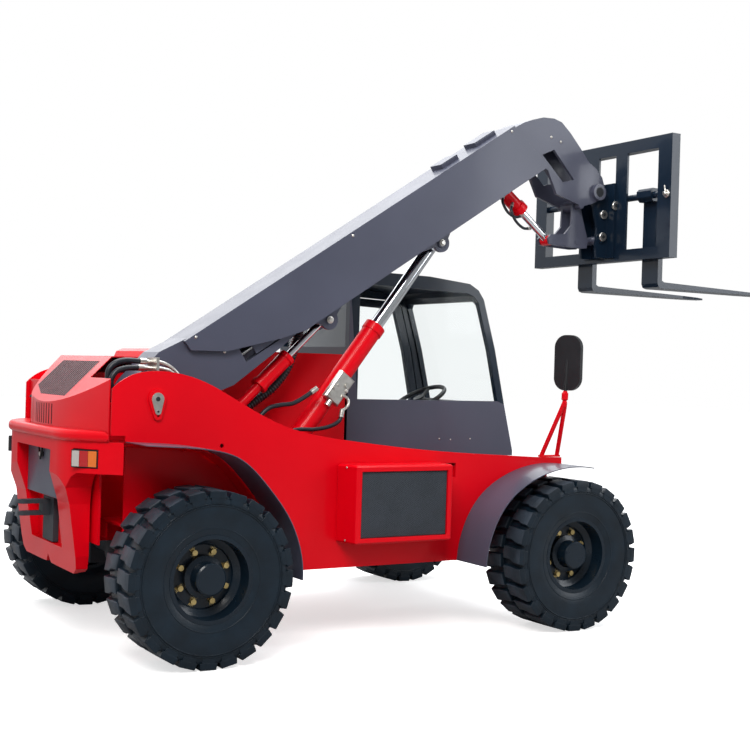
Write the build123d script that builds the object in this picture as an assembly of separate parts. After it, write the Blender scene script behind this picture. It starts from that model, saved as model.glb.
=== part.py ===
from build123d import *
import os
from math import atan2, cos, degrees, pi, radians, sin, sqrt, tan

os.makedirs("parts", exist_ok=True)

# Lengths are millimetres. Tables count x forward from the rear axle, or from the front axle or the cab where
# ahead() moves them, y to the left, and z up. Boom tables count u along the boom from its pivot and w across it.
# save() stands the machine on its tyres and puts x = 0 half way along it.

# --- driving dimensions ---
REAR_END = -690
FORK_TIP = 4300
WHEELBASE = 2424
TYRE_RADIUS = 460
TYRE_WIDTH = 351
TREAD_DEPTH = 24
LUG_COUNT = 24
WHEEL_Y = 958
KINGPIN_INSET = 158
KINGPIN_RADIUS = 22
RIM_SEAT = 219
RIM_FLANGE = 231
RIM_INNER = 135
BOLT_CIRCLE = 275
BOLT_COUNT = 8
BODY_HALF = 780
PLATE = 12
FENDER_REACH = 300
FENDER_SHEET = 5
ARCH_GAP = 81
RAIL_BOTTOM = 590
RAIL_Y = 320
RAIL_THICK = 25
AXLE_DROP = 130
WELL_Y = 600
BELLY_Z = 420
BUMPER_BACK = -618
BUMPER_HALF = 790
BUMPER_BULGE = 20
HOOD_SHEET = 6
BOOM_ANGLE = 33.26
BOOM_PIVOT = (-195, 1372)
BOOM_PIN = 32
BOOM_Y = -470
BOOM_HALF = 150
NECK_HALF = 118
INNER_HALF = 112
INNER_TOP = 128
INNER_BOTTOM = -150
BOOM_WALL = 10
BOOM_UNDERSIDE = -190
HEAD_PIN = (2969, 2791)
HEAD_BORE = 34
LEVER_PIN = (2833, 2693)
ROD_EYE = (2641, 2453)
LEVER_HEEL = (2850, 2455)
LINK_PIN = (3035, 2480)
TILT_PIN = (2702, 78)
CARRIAGE_X = 3100
CARRIAGE_Y = (-1130, 230)
CARRIAGE_Z = (2335, 3130)
POST_DEPTH = 70
SHAFT_Z = 2755
SHAFT_RADIUS = 22
FORK_WIDTH = 150
FORK_THICK = 40
FORK_RIGHT_Y = -880
FORK_LEFT_Y = -240
CAB_SET = 1124
CAB_RIGHT_Y = -200
CAB_SIDE_GAP = 28
CAB_WALL = 40
LIFT_PIN = (453, 680)
LIFT_EYE = (1729, 2358)
LEVEL_PIN = (144, 1056)
LEVEL_EYE = (958, 1845)
HITCH_PIN = 16
HITCH_EYE = 33
HOSE = 15
PIPE = 11
CONDUIT = 28
BEND_SHARE = 0.45
CLEAR = 6
PIN_CLEAR = 1
SEAM = 6

AXLE_Z = RAIL_BOTTOM - AXLE_DROP
KINGPIN_Y = WHEEL_Y - KINGPIN_INSET
CAB_X = WHEELBASE - CAB_SET
CAB_LEFT_Y = BODY_HALF - PLATE - CAB_SIDE_GAP
BELLY_X = (TYRE_RADIUS + ARCH_GAP + 15, WHEELBASE - TYRE_RADIUS - 212)
REAR_AXLE_X = -(REAR_END + FORK_TIP) / 2
BOOM_DIR = radians(BOOM_ANGLE)
PLATE_IN = BODY_HALF - PLATE
FORK_X = CARRIAGE_X + POST_DEPTH + CLEAR + 2


# --- helpers ---
def face_xz(points, y=0):
    return make_face(Polyline(*[(x, y, z) for x, z in points], close=True))


def plate_xz(points, y_from, y_to):
    return extrude(face_xz(points, y_from), amount=y_to - y_from, dir=(0, 1, 0))


def plate_xy(points, z_from, z_to):
    wire = Polyline(*[(x, y, z_from) for x, y in points], close=True)
    return extrude(make_face(wire), amount=z_to - z_from, dir=(0, 0, 1))


def plate_yz(points, x_from, x_to):
    wire = Polyline(*[(x_from, y, z) for y, z in points], close=True)
    return extrude(make_face(wire), amount=x_to - x_from, dir=(1, 0, 0))


def slab(face, y_from, y_to):
    """Plate from a face drawn at y = 0."""
    return Pos(0, y_from, 0) * extrude(face, amount=y_to - y_from, dir=(0, 1, 0))


def ahead(points, distance):
    return [(x + distance, z) for x, z in points]


def block(x0, x1, y0, y1, z0, z1):
    box = Box(abs(x1 - x0), abs(y1 - y0), abs(z1 - z0))
    return Pos((x0 + x1) / 2, (y0 + y1) / 2, (z0 + z1) / 2) * box


def rod_y(centre, radius, y0, y1):
    return Pos(centre[0], (y0 + y1) / 2, centre[1]) * Rot(90, 0, 0) * Cylinder(radius, abs(y1 - y0))


def rod_z(x, y, radius, z0, z1):
    return Pos(x, y, (z0 + z1) / 2) * Cylinder(radius, abs(z1 - z0))


def rod_x(y, z, radius, x0, x1):
    return Pos((x0 + x1) / 2, y, z) * Rot(0, 90, 0) * Cylinder(radius, abs(x1 - x0))


def bar(start, end, radius, inset_start=0, inset_end=0):
    """Round bar between two points, shortened by an inset at each end."""
    first = Vector(*start)
    last = Vector(*end)
    way = (last - first).normalized()
    length = (last - first).length - inset_start - inset_end
    return Plane(origin=first + way * inset_start, z_dir=way) * Pos(0, 0, length / 2) * Cylinder(radius, length)


def at_y(point, y):
    return (point[0], y, point[1])


def boom_to_world(shape):
    return Location((BOOM_PIVOT[0], 0, BOOM_PIVOT[1]), (0, -BOOM_ANGLE, 0)) * shape


def boom_point(point):
    """World (x, z) as lengths along and across the boom from its pivot."""
    dx = point[0] - BOOM_PIVOT[0]
    dz = point[1] - BOOM_PIVOT[1]
    return (dx * cos(BOOM_DIR) + dz * sin(BOOM_DIR), -dx * sin(BOOM_DIR) + dz * cos(BOOM_DIR))


def world_point(u, w):
    x = BOOM_PIVOT[0] + u * cos(BOOM_DIR) - w * sin(BOOM_DIR)
    z = BOOM_PIVOT[1] + u * sin(BOOM_DIR) + w * cos(BOOM_DIR)
    return (x, z)


def hose(points, radius):
    """Hose through its bend points. Each bend takes most of the shorter run beside it."""
    stops = [Vector(*p) for p in points]
    bends = []
    for before, here, after in zip(stops, stops[1:], stops[2:]):
        turn = radians((here - before).get_angle(after - here))
        run = min((here - before).length, (after - here).length)
        bends.append(BEND_SHARE * run / tan(turn / 2))
    print("bends:", [round(bend) for bend in bends])
    route = FilletPolyline(*points, radius=bends)
    start = route.edges()[0]
    section = Plane(origin=start.position_at(0), z_dir=start.tangent_at(0)) * Circle(radius)
    return sweep(section, path=route)


def save(name, shape):
    solids = shape.solids()
    kept = solids[0] if len(solids) == 1 else Compound(children=list(solids))
    kept = kept.moved(Location((REAR_AXLE_X, 0, TYRE_RADIUS - AXLE_Z)))
    kept.label = name
    export_step(kept, f"parts/{name}.step")
    print(f"{name}: {len(solids)} solid, {kept.volume / 1e6:.2f} litre")


# --- tyres: flat-sided carcass with two rows of staggered lugs, a flat for each lug ---
def lug_turn(n):
    return n * 2 * pi / LUG_COUNT


def carcass(profile):
    """Closed many-sided ring from (radius, outward) points, its flats at those radii."""
    spread = 1 / cos(lug_turn(0.5))
    rings = []
    for radius, out in profile:
        rings.append([(radius * spread * sin(lug_turn(n + 0.5)), out, radius * spread * cos(lug_turn(n + 0.5)))
                      for n in range(LUG_COUNT)])
    faces = []
    for inner, outer in zip(rings, rings[1:] + rings[:1]):
        for n in range(LUG_COUNT):
            after = (n + 1) % LUG_COUNT
            corners = [inner[n], inner[after], outer[after], outer[n]]
            faces.append(Face(Wire.make_polygon([Vector(*p) for p in corners], close=True)))
    return Solid(Shell(faces))


def tyre_shape():
    half = TYRE_WIDTH / 2
    base = TYRE_RADIUS - TREAD_DEPTH
    shoulder = base - 44
    profile = [(RIM_SEAT + PIN_CLEAR, -RIM_INNER), (300, -half + 4), (shoulder, -half), (base, -half + 26),
               (base, half - 26), (shoulder, half), (300, half - 4), (RIM_SEAT + PIN_CLEAR, RIM_INNER)]
    tip = 44
    top = sqrt(TYRE_RADIUS ** 2 - tip ** 2)
    side = plate_yz([(12, base - 10), (12, top), (half - 14, top), (half - 1, shoulder - 4), (half - 30, 380)],
                    -60, 60)
    plan = plate_xy([(-36, half + 1), (36, half + 1), (tip, 12), (-16, 12)], 300, TYRE_RADIUS + 1)
    lug = side & plan
    across = lug.mirror(Plane.XZ)
    lugs = []
    for n in range(LUG_COUNT):
        lugs.append(Rot(0, degrees(lug_turn(n)), 0) * lug)
        lugs.append(Rot(0, degrees(lug_turn(n + 0.5)), 0) * across)
    tyre = carcass(profile).fuse(*lugs)
    return Rot(0, -degrees(atan2(tip, top)), 0) * tyre


RIM_PROFILE = [
    (RIM_SEAT - 10, -152), (RIM_FLANGE, -152), (RIM_FLANGE, -144), (RIM_SEAT, -139), (RIM_SEAT, 139),
    (RIM_FLANGE, 144), (RIM_FLANGE, 152), (RIM_SEAT - 10, 152), (RIM_SEAT - 14, 60), (190, 52),
    (170, 40), (165, 28), (112, 28), (112, 16), (178, 16), (RIM_SEAT - 14, 40),
]
HUB_PROFILE = [(0, -30), (150, -30), (150, 16), (112, 16), (112, 60), (84, 68), (84, 142), (76, 148), (0, 148)]


def turned(points, centre_x, side):
    """Ring turned about the wheel's axle from (radius, outward) points."""
    wire = Polyline(*[(r, out, 0) for r, out in points], close=True)
    ring = revolve(make_face(wire), Axis.Y, 360)
    if side < 0:
        ring = ring.mirror(Plane.XZ)
    return Pos(centre_x, side * WHEEL_Y, AXLE_Z) * ring


tyre_form = tyre_shape()


def wheel(name, x, side):
    form = tyre_form if side > 0 else tyre_form.mirror(Plane.XZ)
    rim = turned(RIM_PROFILE, x, side)
    for n in range(BOLT_COUNT):
        turn = radians((n + 0.5) * 360 / BOLT_COUNT)
        centre = (x + BOLT_CIRCLE / 2 * cos(turn), AXLE_Z + BOLT_CIRCLE / 2 * sin(turn))
        rim += rod_y(centre, 15, side * (WHEEL_Y + 20), side * (WHEEL_Y + 50))
    save(f"tyre_{name}", Pos(x, side * WHEEL_Y, AXLE_Z) * form)
    save(f"rim_{name}", rim + turned(HUB_PROFILE, x, side))


# --- axles, knuckles and tie rods ---
EAR_Z = (124, 158)
ARM_REACH = 128
ARM_IN = 130
TIE_Z = AXLE_Z - 40
TIE_RADIUS = 20


def knuckle(name, x, side):
    inward = 1 if x < WHEELBASE / 2 else -1
    hub_end = side * (WHEEL_Y - 36)
    king_y = side * KINGPIN_Y
    shape = rod_y((x, AXLE_Z), 92, side * (KINGPIN_Y - 30), hub_end)
    shape += rod_y((x, AXLE_Z), 140, side * (KINGPIN_Y + 60), hub_end)
    shape += rod_z(x, king_y, 60, AXLE_Z - EAR_Z[0] + CLEAR, AXLE_Z + EAR_Z[0] - CLEAR)
    shape += rod_z(x, king_y, KINGPIN_RADIUS, AXLE_Z - EAR_Z[1] - 14, AXLE_Z + EAR_Z[1] + 14)
    y_in = side * (KINGPIN_Y - ARM_IN)
    arm = plate_xy([(x, king_y), (x + inward * 40, king_y), (x + inward * 150, y_in + side * 40),
                    (x + inward * 150, y_in), (x + inward * 110, y_in), (x, side * (KINGPIN_Y - 50))],
                   TIE_Z - 60, TIE_Z - 36)
    save(f"knuckle_{name}", shape + arm)


def axle(name, x):
    inward = 1 if x < WHEELBASE / 2 else -1
    yoke = KINGPIN_Y - 260
    body = rod_y((x, AXLE_Z), 68, -yoke - 50, yoke + 50)
    housing = Pos(x, 60, AXLE_Z) * Sphere(150)
    body += housing & block(x - 160, x + 160, -110, 230, AXLE_Z - 148, AXLE_Z + 92)
    body += rod_x(60, AXLE_Z, 62, x + inward * 120, x + inward * 230)
    body += rod_x(60, AXLE_Z, 80, x + inward * 220, x + inward * 238)
    ram_x = x + inward * ARM_REACH
    body += rod_y((ram_x, TIE_Z), 38, -250, 250)
    for y in (-200, 200):
        body += block(x, ram_x, y - 20, y + 20, TIE_Z - 20, TIE_Z + 20)
    for side in (-1, 1):
        body += block(x - 78, x + 78, side * yoke, side * (yoke + 60), AXLE_Z - 150, AXLE_Z + 150)
        for low in (EAR_Z[0], -EAR_Z[1]):
            body += block(x - 48, x + 48, side * (yoke + 50), side * (KINGPIN_Y + 34),
                          AXLE_Z + low, AXLE_Z + low + EAR_Z[1] - EAR_Z[0])
        body -= rod_z(x, side * KINGPIN_Y, KINGPIN_RADIUS + PIN_CLEAR, AXLE_Z - 200, AXLE_Z + 200)
        pad_y = side * (RAIL_Y + RAIL_THICK / 2)
        body += block(x - 90, x + 90, pad_y - 40, pad_y + 40, AXLE_Z + 40, RAIL_BOTTOM)
    body -= rod_y((ram_x, TIE_Z), TIE_RADIUS + PIN_CLEAR, -260, 260)
    save(f"axle_{name}", body)
    eye_y = KINGPIN_Y - ARM_IN - 2
    shaft = rod_y((ram_x, TIE_Z), TIE_RADIUS, -eye_y + 108, eye_y - 108)
    for side in (-1, 1):
        shaft += rod_y((ram_x, TIE_Z), 27, side * (eye_y - 108), side * (eye_y - 68))
        shaft += rod_y((ram_x, TIE_Z), 16, side * (eye_y - 78), side * (eye_y - 13))
        shaft += rod_z(ram_x, side * eye_y, 26, TIE_Z - 30, TIE_Z + 22)
    save(f"tie_rod_{name}", shaft)


for axle_name, axle_x in (("rear", 0), ("front", WHEELBASE)):
    axle(axle_name, axle_x)
    for side_name, side in (("right", -1), ("left", 1)):
        wheel(f"{axle_name}_{side_name}", axle_x, side)
        knuckle(f"{axle_name}_{side_name}", axle_x, side)

# --- wheel arches ---
# Each point is a direction from the wheel's centre, in degrees from straight ahead, and its height over the tyre.
REAR_ARCH = [(-6.3, ARCH_GAP + 4), (8, ARCH_GAP), (32, ARCH_GAP), (55.6, 108), (77.1, 178), (92.6, 206),
             (111.6, 273), (117.8, 316)]
FRONT_ARCH = [(183.5, 201), (167.4, 180), (146.6, 149), (122.3, 101), (95.3, ARCH_GAP - 2), (74.2, 91)]


def arch_points(x, table, inset):
    reach = TYRE_RADIUS - inset
    return [(x + (reach + gap) * cos(radians(angle)), 0, AXLE_Z + (reach + gap) * sin(radians(angle)))
            for angle, gap in table]


def arch_face(x, table, beyond):
    """Space under an arch: its curve closed by straight lines past its two ends."""
    points = arch_points(x, table, 0)
    first, last = points[0], points[-1]
    far = last[0] + beyond
    low = BELLY_Z - 80
    ends = Polyline(last, (far, 0, last[2]), (far, 0, low), (first[0], 0, low), first)
    return make_face([Spline(*points)] + list(ends.edges()))


def arch_sheet(arch, inset, thickness, y_from, y_to):
    """Sheet that follows an arch, an inset below its curve."""
    upper = arch_points(*arch, inset)
    lower = arch_points(*arch, inset + thickness)
    face = make_face([Spline(*upper), Line(upper[-1], lower[-1]), Spline(*lower), Line(lower[0], upper[0])])
    sheet = slab(face, min(y_from, y_to), max(y_from, y_to))
    return sheet & block(-900, WHEELBASE + 900, -1500, 1500, BELLY_Z, 1300)


rear_arch = (0, REAR_ARCH)
front_arch = (WHEELBASE, FRONT_ARCH)

# --- body sides and fenders ---
SIDE_TOP = ahead([(-80, 1040), (-735, 1077)], WHEELBASE)
SIDE_TOP += [(954, 1152), (596, 1221), (285, 1362), (60, 1473), (-127, 1516), (-320, 1500), (-440, 1420)]
SIDE_FRONT = ahead([(136, 960), (136, 1036), (-80, 1040)], WHEELBASE)
HOOD_SEAM_X = -440
ARCH_REAR_X = arch_points(*rear_arch, 0)[-1][0]


REAR_SHELF = (-400, 1350)
FRONT_SHELF = (-30, 1430)
HOSE_Y = (-660, -700)
CONDUIT_Y = BOOM_Y + 90
CONDUIT_FOOT = (390, 1080)


def side_face():
    top = Spline(*[(x, 0, z) for x, z in SIDE_TOP])
    rest = [SIDE_TOP[-1], (HOOD_SEAM_X, 1178), (ARCH_REAR_X, 1178), (ARCH_REAR_X, BELLY_Z)]
    rest += [(SIDE_FRONT[0][0], BELLY_Z)] + SIDE_FRONT[1:]
    face = make_face([top] + list(Polyline(*[(x, 0, z) for x, z in rest]).edges()))
    return face - arch_face(*rear_arch, -30) - arch_face(*front_arch, 30)


side = side_face()
side_right = slab(side, -BODY_HALF, -PLATE_IN)
side_right -= rod_y((185, 1123), 12, -BODY_HALF - 1, -PLATE_IN + 1)
side_right -= rod_y(BOOM_PIVOT, BOOM_PIN + PIN_CLEAR, -BODY_HALF - 1, -PLATE_IN + 1)
side_right -= block(WHEELBASE - 784, WHEELBASE - 689, -BODY_HALF - 1, -PLATE_IN + 1, 925, 1010)
for x, z in (REAR_SHELF, FRONT_SHELF):
    side_right += block(x - 35, x + 35, -PLATE_IN - 1, HOSE_Y[0] + 25, z - 10, z)
save("side_plate_right", side_right)
side_left = slab(side, PLATE_IN, BODY_HALF)
side_left -= block(CAB_X - 10, WHEELBASE - 660, PLATE_IN - 1, BODY_HALF + 1, 600, 1300)
save("side_plate_left", side_left)

for place, arch in (("rear", rear_arch), ("front", front_arch)):
    pair = arch_sheet(arch, -FENDER_SHEET / 2, FENDER_SHEET, -BODY_HALF - FENDER_REACH, -BODY_HALF)
    pair += arch_sheet(arch, -FENDER_SHEET / 2, FENDER_SHEET, BODY_HALF, BODY_HALF + FENDER_REACH)
    save(f"fenders_{place}", pair)

# --- chassis ---
FRAME_REAR_X = -300
FRAME_FRONT_X = WHEELBASE + 56
BELLY_SHEET = 12
WALL = 10
WELL_SHEET = 6
RAIL_TOP = RAIL_BOTTOM + 100
belly_rear, belly_front = BELLY_X
rear_step = belly_rear - 246
front_step = WHEELBASE - 524
BELLY_TOP = BELLY_Z + BELLY_SHEET
BELLY_LINE = [(front_step, RAIL_BOTTOM), (belly_front, BELLY_TOP), (belly_rear + 4, BELLY_TOP),
              (rear_step, RAIL_BOTTOM)]
TRENCH_Z = RAIL_BOTTOM - 30
TRENCH_REAR_X = rear_step - 10
TRENCH_FRONT_X = belly_front - BELLY_SHEET
RAIL_RIGHT = [(FRAME_REAR_X, RAIL_BOTTOM), (FRAME_REAR_X, RAIL_TOP), (TRENCH_REAR_X, RAIL_TOP),
              (TRENCH_REAR_X, TRENCH_Z), (TRENCH_FRONT_X, TRENCH_Z), (TRENCH_FRONT_X, RAIL_TOP),
              (FRAME_FRONT_X, RAIL_TOP), (FRAME_FRONT_X, RAIL_BOTTOM)] + BELLY_LINE
RAIL_LEFT = [(FRAME_REAR_X, RAIL_BOTTOM), (FRAME_REAR_X, 900), (CAB_X - 30, 900), (CAB_X - 15, 608),
             (CAB_X + 595, 608), (CAB_X + 675, 900), (FRAME_FRONT_X, 900), (FRAME_FRONT_X, RAIL_BOTTOM)]
RAIL_LEFT += BELLY_LINE
TRENCH_IN_Y = -210
FRONT_WELL_RIGHT = -545
FRONT_WELL_LEFT = 535
FRONT_SIDE = BODY_HALF - 45
frame = [plate_xz(RAIL_RIGHT, -RAIL_Y - RAIL_THICK, -RAIL_Y), plate_xz(RAIL_LEFT, RAIL_Y, RAIL_Y + RAIL_THICK)]
frame.append(block(belly_rear, belly_front, -PLATE_IN, PLATE_IN, BELLY_Z, BELLY_TOP))
frame.append(block(belly_rear, belly_rear + BELLY_SHEET, -PLATE_IN, -WELL_Y, BELLY_Z, 1000))
frame.append(block(belly_rear, belly_rear + BELLY_SHEET, -WELL_Y, TRENCH_IN_Y, BELLY_Z, TRENCH_Z))
frame.append(block(belly_rear, belly_rear + BELLY_SHEET, TRENCH_IN_Y, PLATE_IN, BELLY_Z, 890))
frame.append(block(TRENCH_FRONT_X, belly_front, -PLATE_IN, PLATE_IN, BELLY_Z, 600))
frame.append(block(TRENCH_FRONT_X, belly_front, -PLATE_IN, -WELL_Y, 590, 990))
for x in (FRAME_REAR_X, FRAME_FRONT_X - BELLY_SHEET):
    frame.append(block(x, x + BELLY_SHEET, -RAIL_Y - RAIL_THICK, RAIL_Y + RAIL_THICK, RAIL_BOTTOM, RAIL_TOP))
WELL_WALL = [(FRAME_REAR_X, 620), (FRAME_REAR_X, 1110), (100, 1080), (250, 990), (400, 1000),
             (belly_rear + BELLY_SHEET, 1000), (belly_rear + BELLY_SHEET, TRENCH_Z), (TRENCH_REAR_X, TRENCH_Z),
             (TRENCH_REAR_X, 620)]
frame.append(plate_xz(WELL_WALL, -WELL_Y - WALL, -WELL_Y))
frame.append(plate_xz(WELL_WALL, WELL_Y - WALL, WELL_Y))
frame.append(block(belly_rear, belly_front, -WELL_Y - WALL, -WELL_Y, TRENCH_Z, 990))
front_wall = [(TRENCH_FRONT_X, 620), (TRENCH_FRONT_X, 925), (FRAME_FRONT_X, 925), (FRAME_FRONT_X, 620)]
frame.append(plate_xz(front_wall, FRONT_WELL_RIGHT, FRONT_WELL_RIGHT + WALL))
frame.append(block(TRENCH_FRONT_X, belly_front, -WELL_Y - WALL, FRONT_WELL_RIGHT + WALL, 620, 925))
frame.append(block(FRAME_REAR_X, rear_step, -WELL_Y - WALL, TRENCH_IN_Y, RAIL_TOP - WALL, RAIL_TOP))
frame.append(block(TRENCH_REAR_X, rear_step, -WELL_Y - WALL, TRENCH_IN_Y, TRENCH_Z, RAIL_TOP))
frame.append(block(TRENCH_REAR_X, belly_front, -WELL_Y - WALL, TRENCH_IN_Y, TRENCH_Z, TRENCH_Z + WALL))
frame.append(block(TRENCH_FRONT_X, TRENCH_FRONT_X + WALL, -WELL_Y, TRENCH_IN_Y, TRENCH_Z, RAIL_TOP))
frame.append(block(TRENCH_FRONT_X, FRAME_FRONT_X, FRONT_WELL_RIGHT, TRENCH_IN_Y, RAIL_TOP - WALL, RAIL_TOP))
for y_out, y_in in ((-PLATE_IN, -WELL_Y), (PLATE_IN, WELL_Y - WALL)):
    frame.append(arch_sheet(rear_arch, FENDER_SHEET, WELL_SHEET, y_out, y_in))
    frame.append(block(belly_rear - 26, belly_rear + BELLY_SHEET, y_out, y_in, BELLY_Z, BELLY_TOP))
front_well = block(belly_front, FRAME_FRONT_X, -BODY_HALF, BODY_HALF, BELLY_Z, 1300)
for y_out, y_in in ((-PLATE_IN, FRONT_WELL_RIGHT), (PLATE_IN, FRONT_WELL_LEFT + WALL)):
    frame.append(arch_sheet(front_arch, FENDER_SHEET, WELL_SHEET, y_out, y_in) & front_well)
    frame.append(block(TRENCH_FRONT_X, belly_front + 22, y_out, y_in, BELLY_Z, BELLY_TOP))
front_x = FRAME_FRONT_X - BELLY_SHEET
frame.append(block(front_x, FRAME_FRONT_X, -FRONT_SIDE, FRONT_WELL_RIGHT + WALL, RAIL_TOP - WALL, 986))
frame.append(block(front_x, FRAME_FRONT_X, TRENCH_IN_Y, FRONT_SIDE, RAIL_TOP - WALL, 986))


def pin_bracket(pin, half_low, half_top, foot_z, y, thickness):
    """Plate that narrows from its foot up to a rounded head round the pin."""
    x, z = pin
    side = [(x - half_low, foot_z), (x - half_top, z), (x + half_top, z), (x + half_low, foot_z)]
    return plate_xz(side, y, y + thickness) + rod_y(pin, half_top, y, y + thickness)


for y in (BOOM_Y - 98, BOOM_Y + 74):
    frame.append(pin_bracket(LIFT_PIN, 110, 66, TRENCH_Z + 5, y, 24))
frame.append(rod_y(LIFT_PIN, 28, BOOM_Y - 112, BOOM_Y + 112))
for y in (BOOM_Y - 64, BOOM_Y + 46):
    frame.append(pin_bracket(LEVEL_PIN, 95, 42, RAIL_TOP - 5, y, 18))
frame.append(rod_y(LEVEL_PIN, 18, BOOM_Y - 74, BOOM_Y + 74))
TOWER = [(-420, TRENCH_Z), (-420, 1440), (-330, 1500), (-60, 1500), (190, 1395), (440, 1240), (700, 1100),
         (700, 1000), (CAB_X - 8, 1000), (CAB_X - 8, TRENCH_Z)]
frame.append(plate_xz(TOWER, TRENCH_IN_Y - 20, TRENCH_IN_Y))
frame.append(block(-420, FRAME_REAR_X, TRENCH_IN_Y - 20, RAIL_Y + RAIL_THICK, RAIL_BOTTOM, RAIL_BOTTOM + 12))
frame.append(block(-432, -420, -WELL_Y, RAIL_Y + RAIL_THICK, RAIL_BOTTOM, 1130))
frame.append(block(-432, -290, -655, 655, 1120, 1130))
frame.append(rod_y(BOOM_PIVOT, BOOM_PIN, -BODY_HALF - 6, TRENCH_IN_Y + 4))
KEEPER_DROP = (5, -88)
KEEPER_THICK = 12
x, z = CONDUIT_FOOT
frame.append(block(x - 40, x + 40, CONDUIT_Y - 38, TRENCH_IN_Y, z - 20, z))
keeper_face = make_hull([*Circle(50).edges(), *(Pos(*KEEPER_DROP) * Circle(24)).edges()])
keeper = extrude(keeper_face, amount=KEEPER_THICK)
keeper -= Pos(*KEEPER_DROP) * Cylinder(7, 3 * KEEPER_THICK)
keeper -= Pos(0, 0, KEEPER_THICK) * Cylinder(22, KEEPER_THICK)
keeper = Pos(BOOM_PIVOT[0], -BODY_HALF, BOOM_PIVOT[1]) * Rot(90, 0, 0) * keeper
chassis = frame[0].fuse(*frame[1:])
chassis = chassis + keeper
save("chassis_frame", chassis)

# --- rear bumper ---
BUMPER_FRONT = -372
BAND_Z = 975
RIM_Z = (1138, 1200)
LAMP_PLACE = (-524, 640, 1052)
LAMP_TURN = 45
LAMP_SIZE = (40, 150, 92)


def bumper_plan(grow, z):
    """Bumper's outline from above: a nearly flat back between two round corners."""
    half = BUMPER_HALF + grow
    back = BUMPER_BACK - grow
    corner = (back + 84 + 0.2 * grow, 640 + 0.6 * grow)
    bend = (back + 9, 400)
    rear = ThreePointArc((bend[0], -bend[1], z), (back, 0, z), (bend[0], bend[1], z))
    right = ThreePointArc((BUMPER_FRONT, -half, z), (corner[0], -corner[1], z), (bend[0], -bend[1], z))
    left = ThreePointArc((bend[0], bend[1], z), (corner[0], corner[1], z), (BUMPER_FRONT, half, z))
    front = Line((BUMPER_FRONT, half, z), (BUMPER_FRONT, -half, z))
    return make_face([right, rear, left, front])


HOOD_REAR = -578
HOOD_RIGHT = -752
HOOD_LEFT = 470
HOOD_TOP = 1592
HOOD_BOTTOM = 1148
HOOD_SLOPE_X = -322
HOOD_FRONT_X = 96


def hood_plan(z):
    """Hood from above: a bowed back that turns round a wide corner on the left."""
    right_corner = (HOOD_SEAM_X - CLEAR, HOOD_RIGHT, z)
    turn = (HOOD_REAR + 12, 170, z)
    back = ThreePointArc(right_corner, (HOOD_REAR + 29, -420, z), turn)
    corner = ThreePointArc(turn, (HOOD_REAR + 98, 385, z), (HOOD_REAR + 300, HOOD_LEFT, z))
    rest = Polyline((HOOD_REAR + 300, HOOD_LEFT, z), (HOOD_FRONT_X, HOOD_LEFT, z), (HOOD_FRONT_X, HOOD_RIGHT, z),
                    right_corner)
    return make_face([back, corner] + list(rest.edges()))


INSIDE = [(-300, -700), (-372, -700), (-446, -660), (-446, 660), (-372, 700), (-300, 700)]
band = extrude(bumper_plan(0, BAND_Z), amount=RIM_Z[0] + 4 - BAND_Z, dir=(0, 0, 1)) - plate_xy(INSIDE, 970, 1150)
rim = extrude(bumper_plan(BUMPER_BULGE, RIM_Z[0]), amount=RIM_Z[1] - RIM_Z[0], dir=(0, 0, 1))
rim = fillet(rim.edges().filter_by_position(Axis.Z, RIM_Z[0] - 1, RIM_Z[0] + 1)
             + rim.edges().filter_by_position(Axis.Z, RIM_Z[1] - 1, RIM_Z[1] + 1), 26)
rim -= extrude(offset(hood_plan(RIM_Z[0] + 4), amount=CLEAR, kind=Kind.INTERSECTION), amount=80, dir=(0, 0, 1))
rim -= block(-446, -300, -BODY_HALF - CLEAR, BODY_HALF + CLEAR, RIM_Z[0] - 1, RIM_Z[1] + 1)
rim -= block(-416, -300, -900, 900, RIM_Z[0] - 1, RIM_Z[1] + 1)
SIDE_FORM = [(-446, 1000), (-446, 430), (-505, 420), (-560, 800), (BUMPER_BACK, 980), (BUMPER_BACK, 1000)]
FRONT_FORM = [(0, 470), (42, 422), (260, 418), (440, 420), (490, 450), (505, 520), (505, 800), (520, 890),
              (560, 950), (600, 975), (600, 1001)]
front_form = FRONT_FORM + [(-y, z) for y, z in FRONT_FORM[::-1] if y > 0]
lower = plate_yz(front_form, -700, -400) & plate_xz(SIDE_FORM, -700, 700)
lower = lower & extrude(bumper_plan(0, 400), amount=601, dir=(0, 0, 1))
bumper = band + rim + lower
bumper -= plate_yz([(-318, 1078), (318, 1078), (285, 540), (-285, 540)], -700, -540)
bumper -= plate_xz([(-640, 1079), (-538, 1079), (-538, 800), (-484, 800), (-484, 539), (-640, 539)], -285, 285)
lamp_depth, lamp_width, lamp_height = LAMP_SIZE
lamps = []
for side_sign in (-1, 1):
    place = Pos(LAMP_PLACE[0], side_sign * LAMP_PLACE[1], LAMP_PLACE[2]) * Rot(0, 0, -side_sign * LAMP_TURN)
    bumper -= place * Pos(-20, 0, 0) * Box(lamp_depth + 56, lamp_width + 8, lamp_height + 8)
    lamps.append(place * Box(lamp_depth, lamp_width, lamp_height))
save("rear_bumper", bumper)
save("rear_panel", block(-552, -540, -296, 296, 806, 1070))
save("tail_lamps", lamps[0] + lamps[1])
hitch = block(-516, -484, -95, 95, 545, 792)
hitch_x = REAR_END + HITCH_EYE
for z0, z1 in ((690, 712), (756, 778)):
    hitch += block(hitch_x, -516, -HITCH_EYE, HITCH_EYE, z0, z1)
    hitch += rod_z(hitch_x, 0, HITCH_EYE, z0, z1)
hitch += block(-560, -516, -HITCH_EYE, HITCH_EYE, 690, 778)
hitch -= rod_z(hitch_x, 0, HITCH_PIN, 680, 790)
save("tow_hitch", hitch)

# --- hood with its grilles ---
SLOT = 13
SLOT_PITCH = 33
SLOPE_SLOTS = 19
REAR_SLOTS = 8


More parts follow.
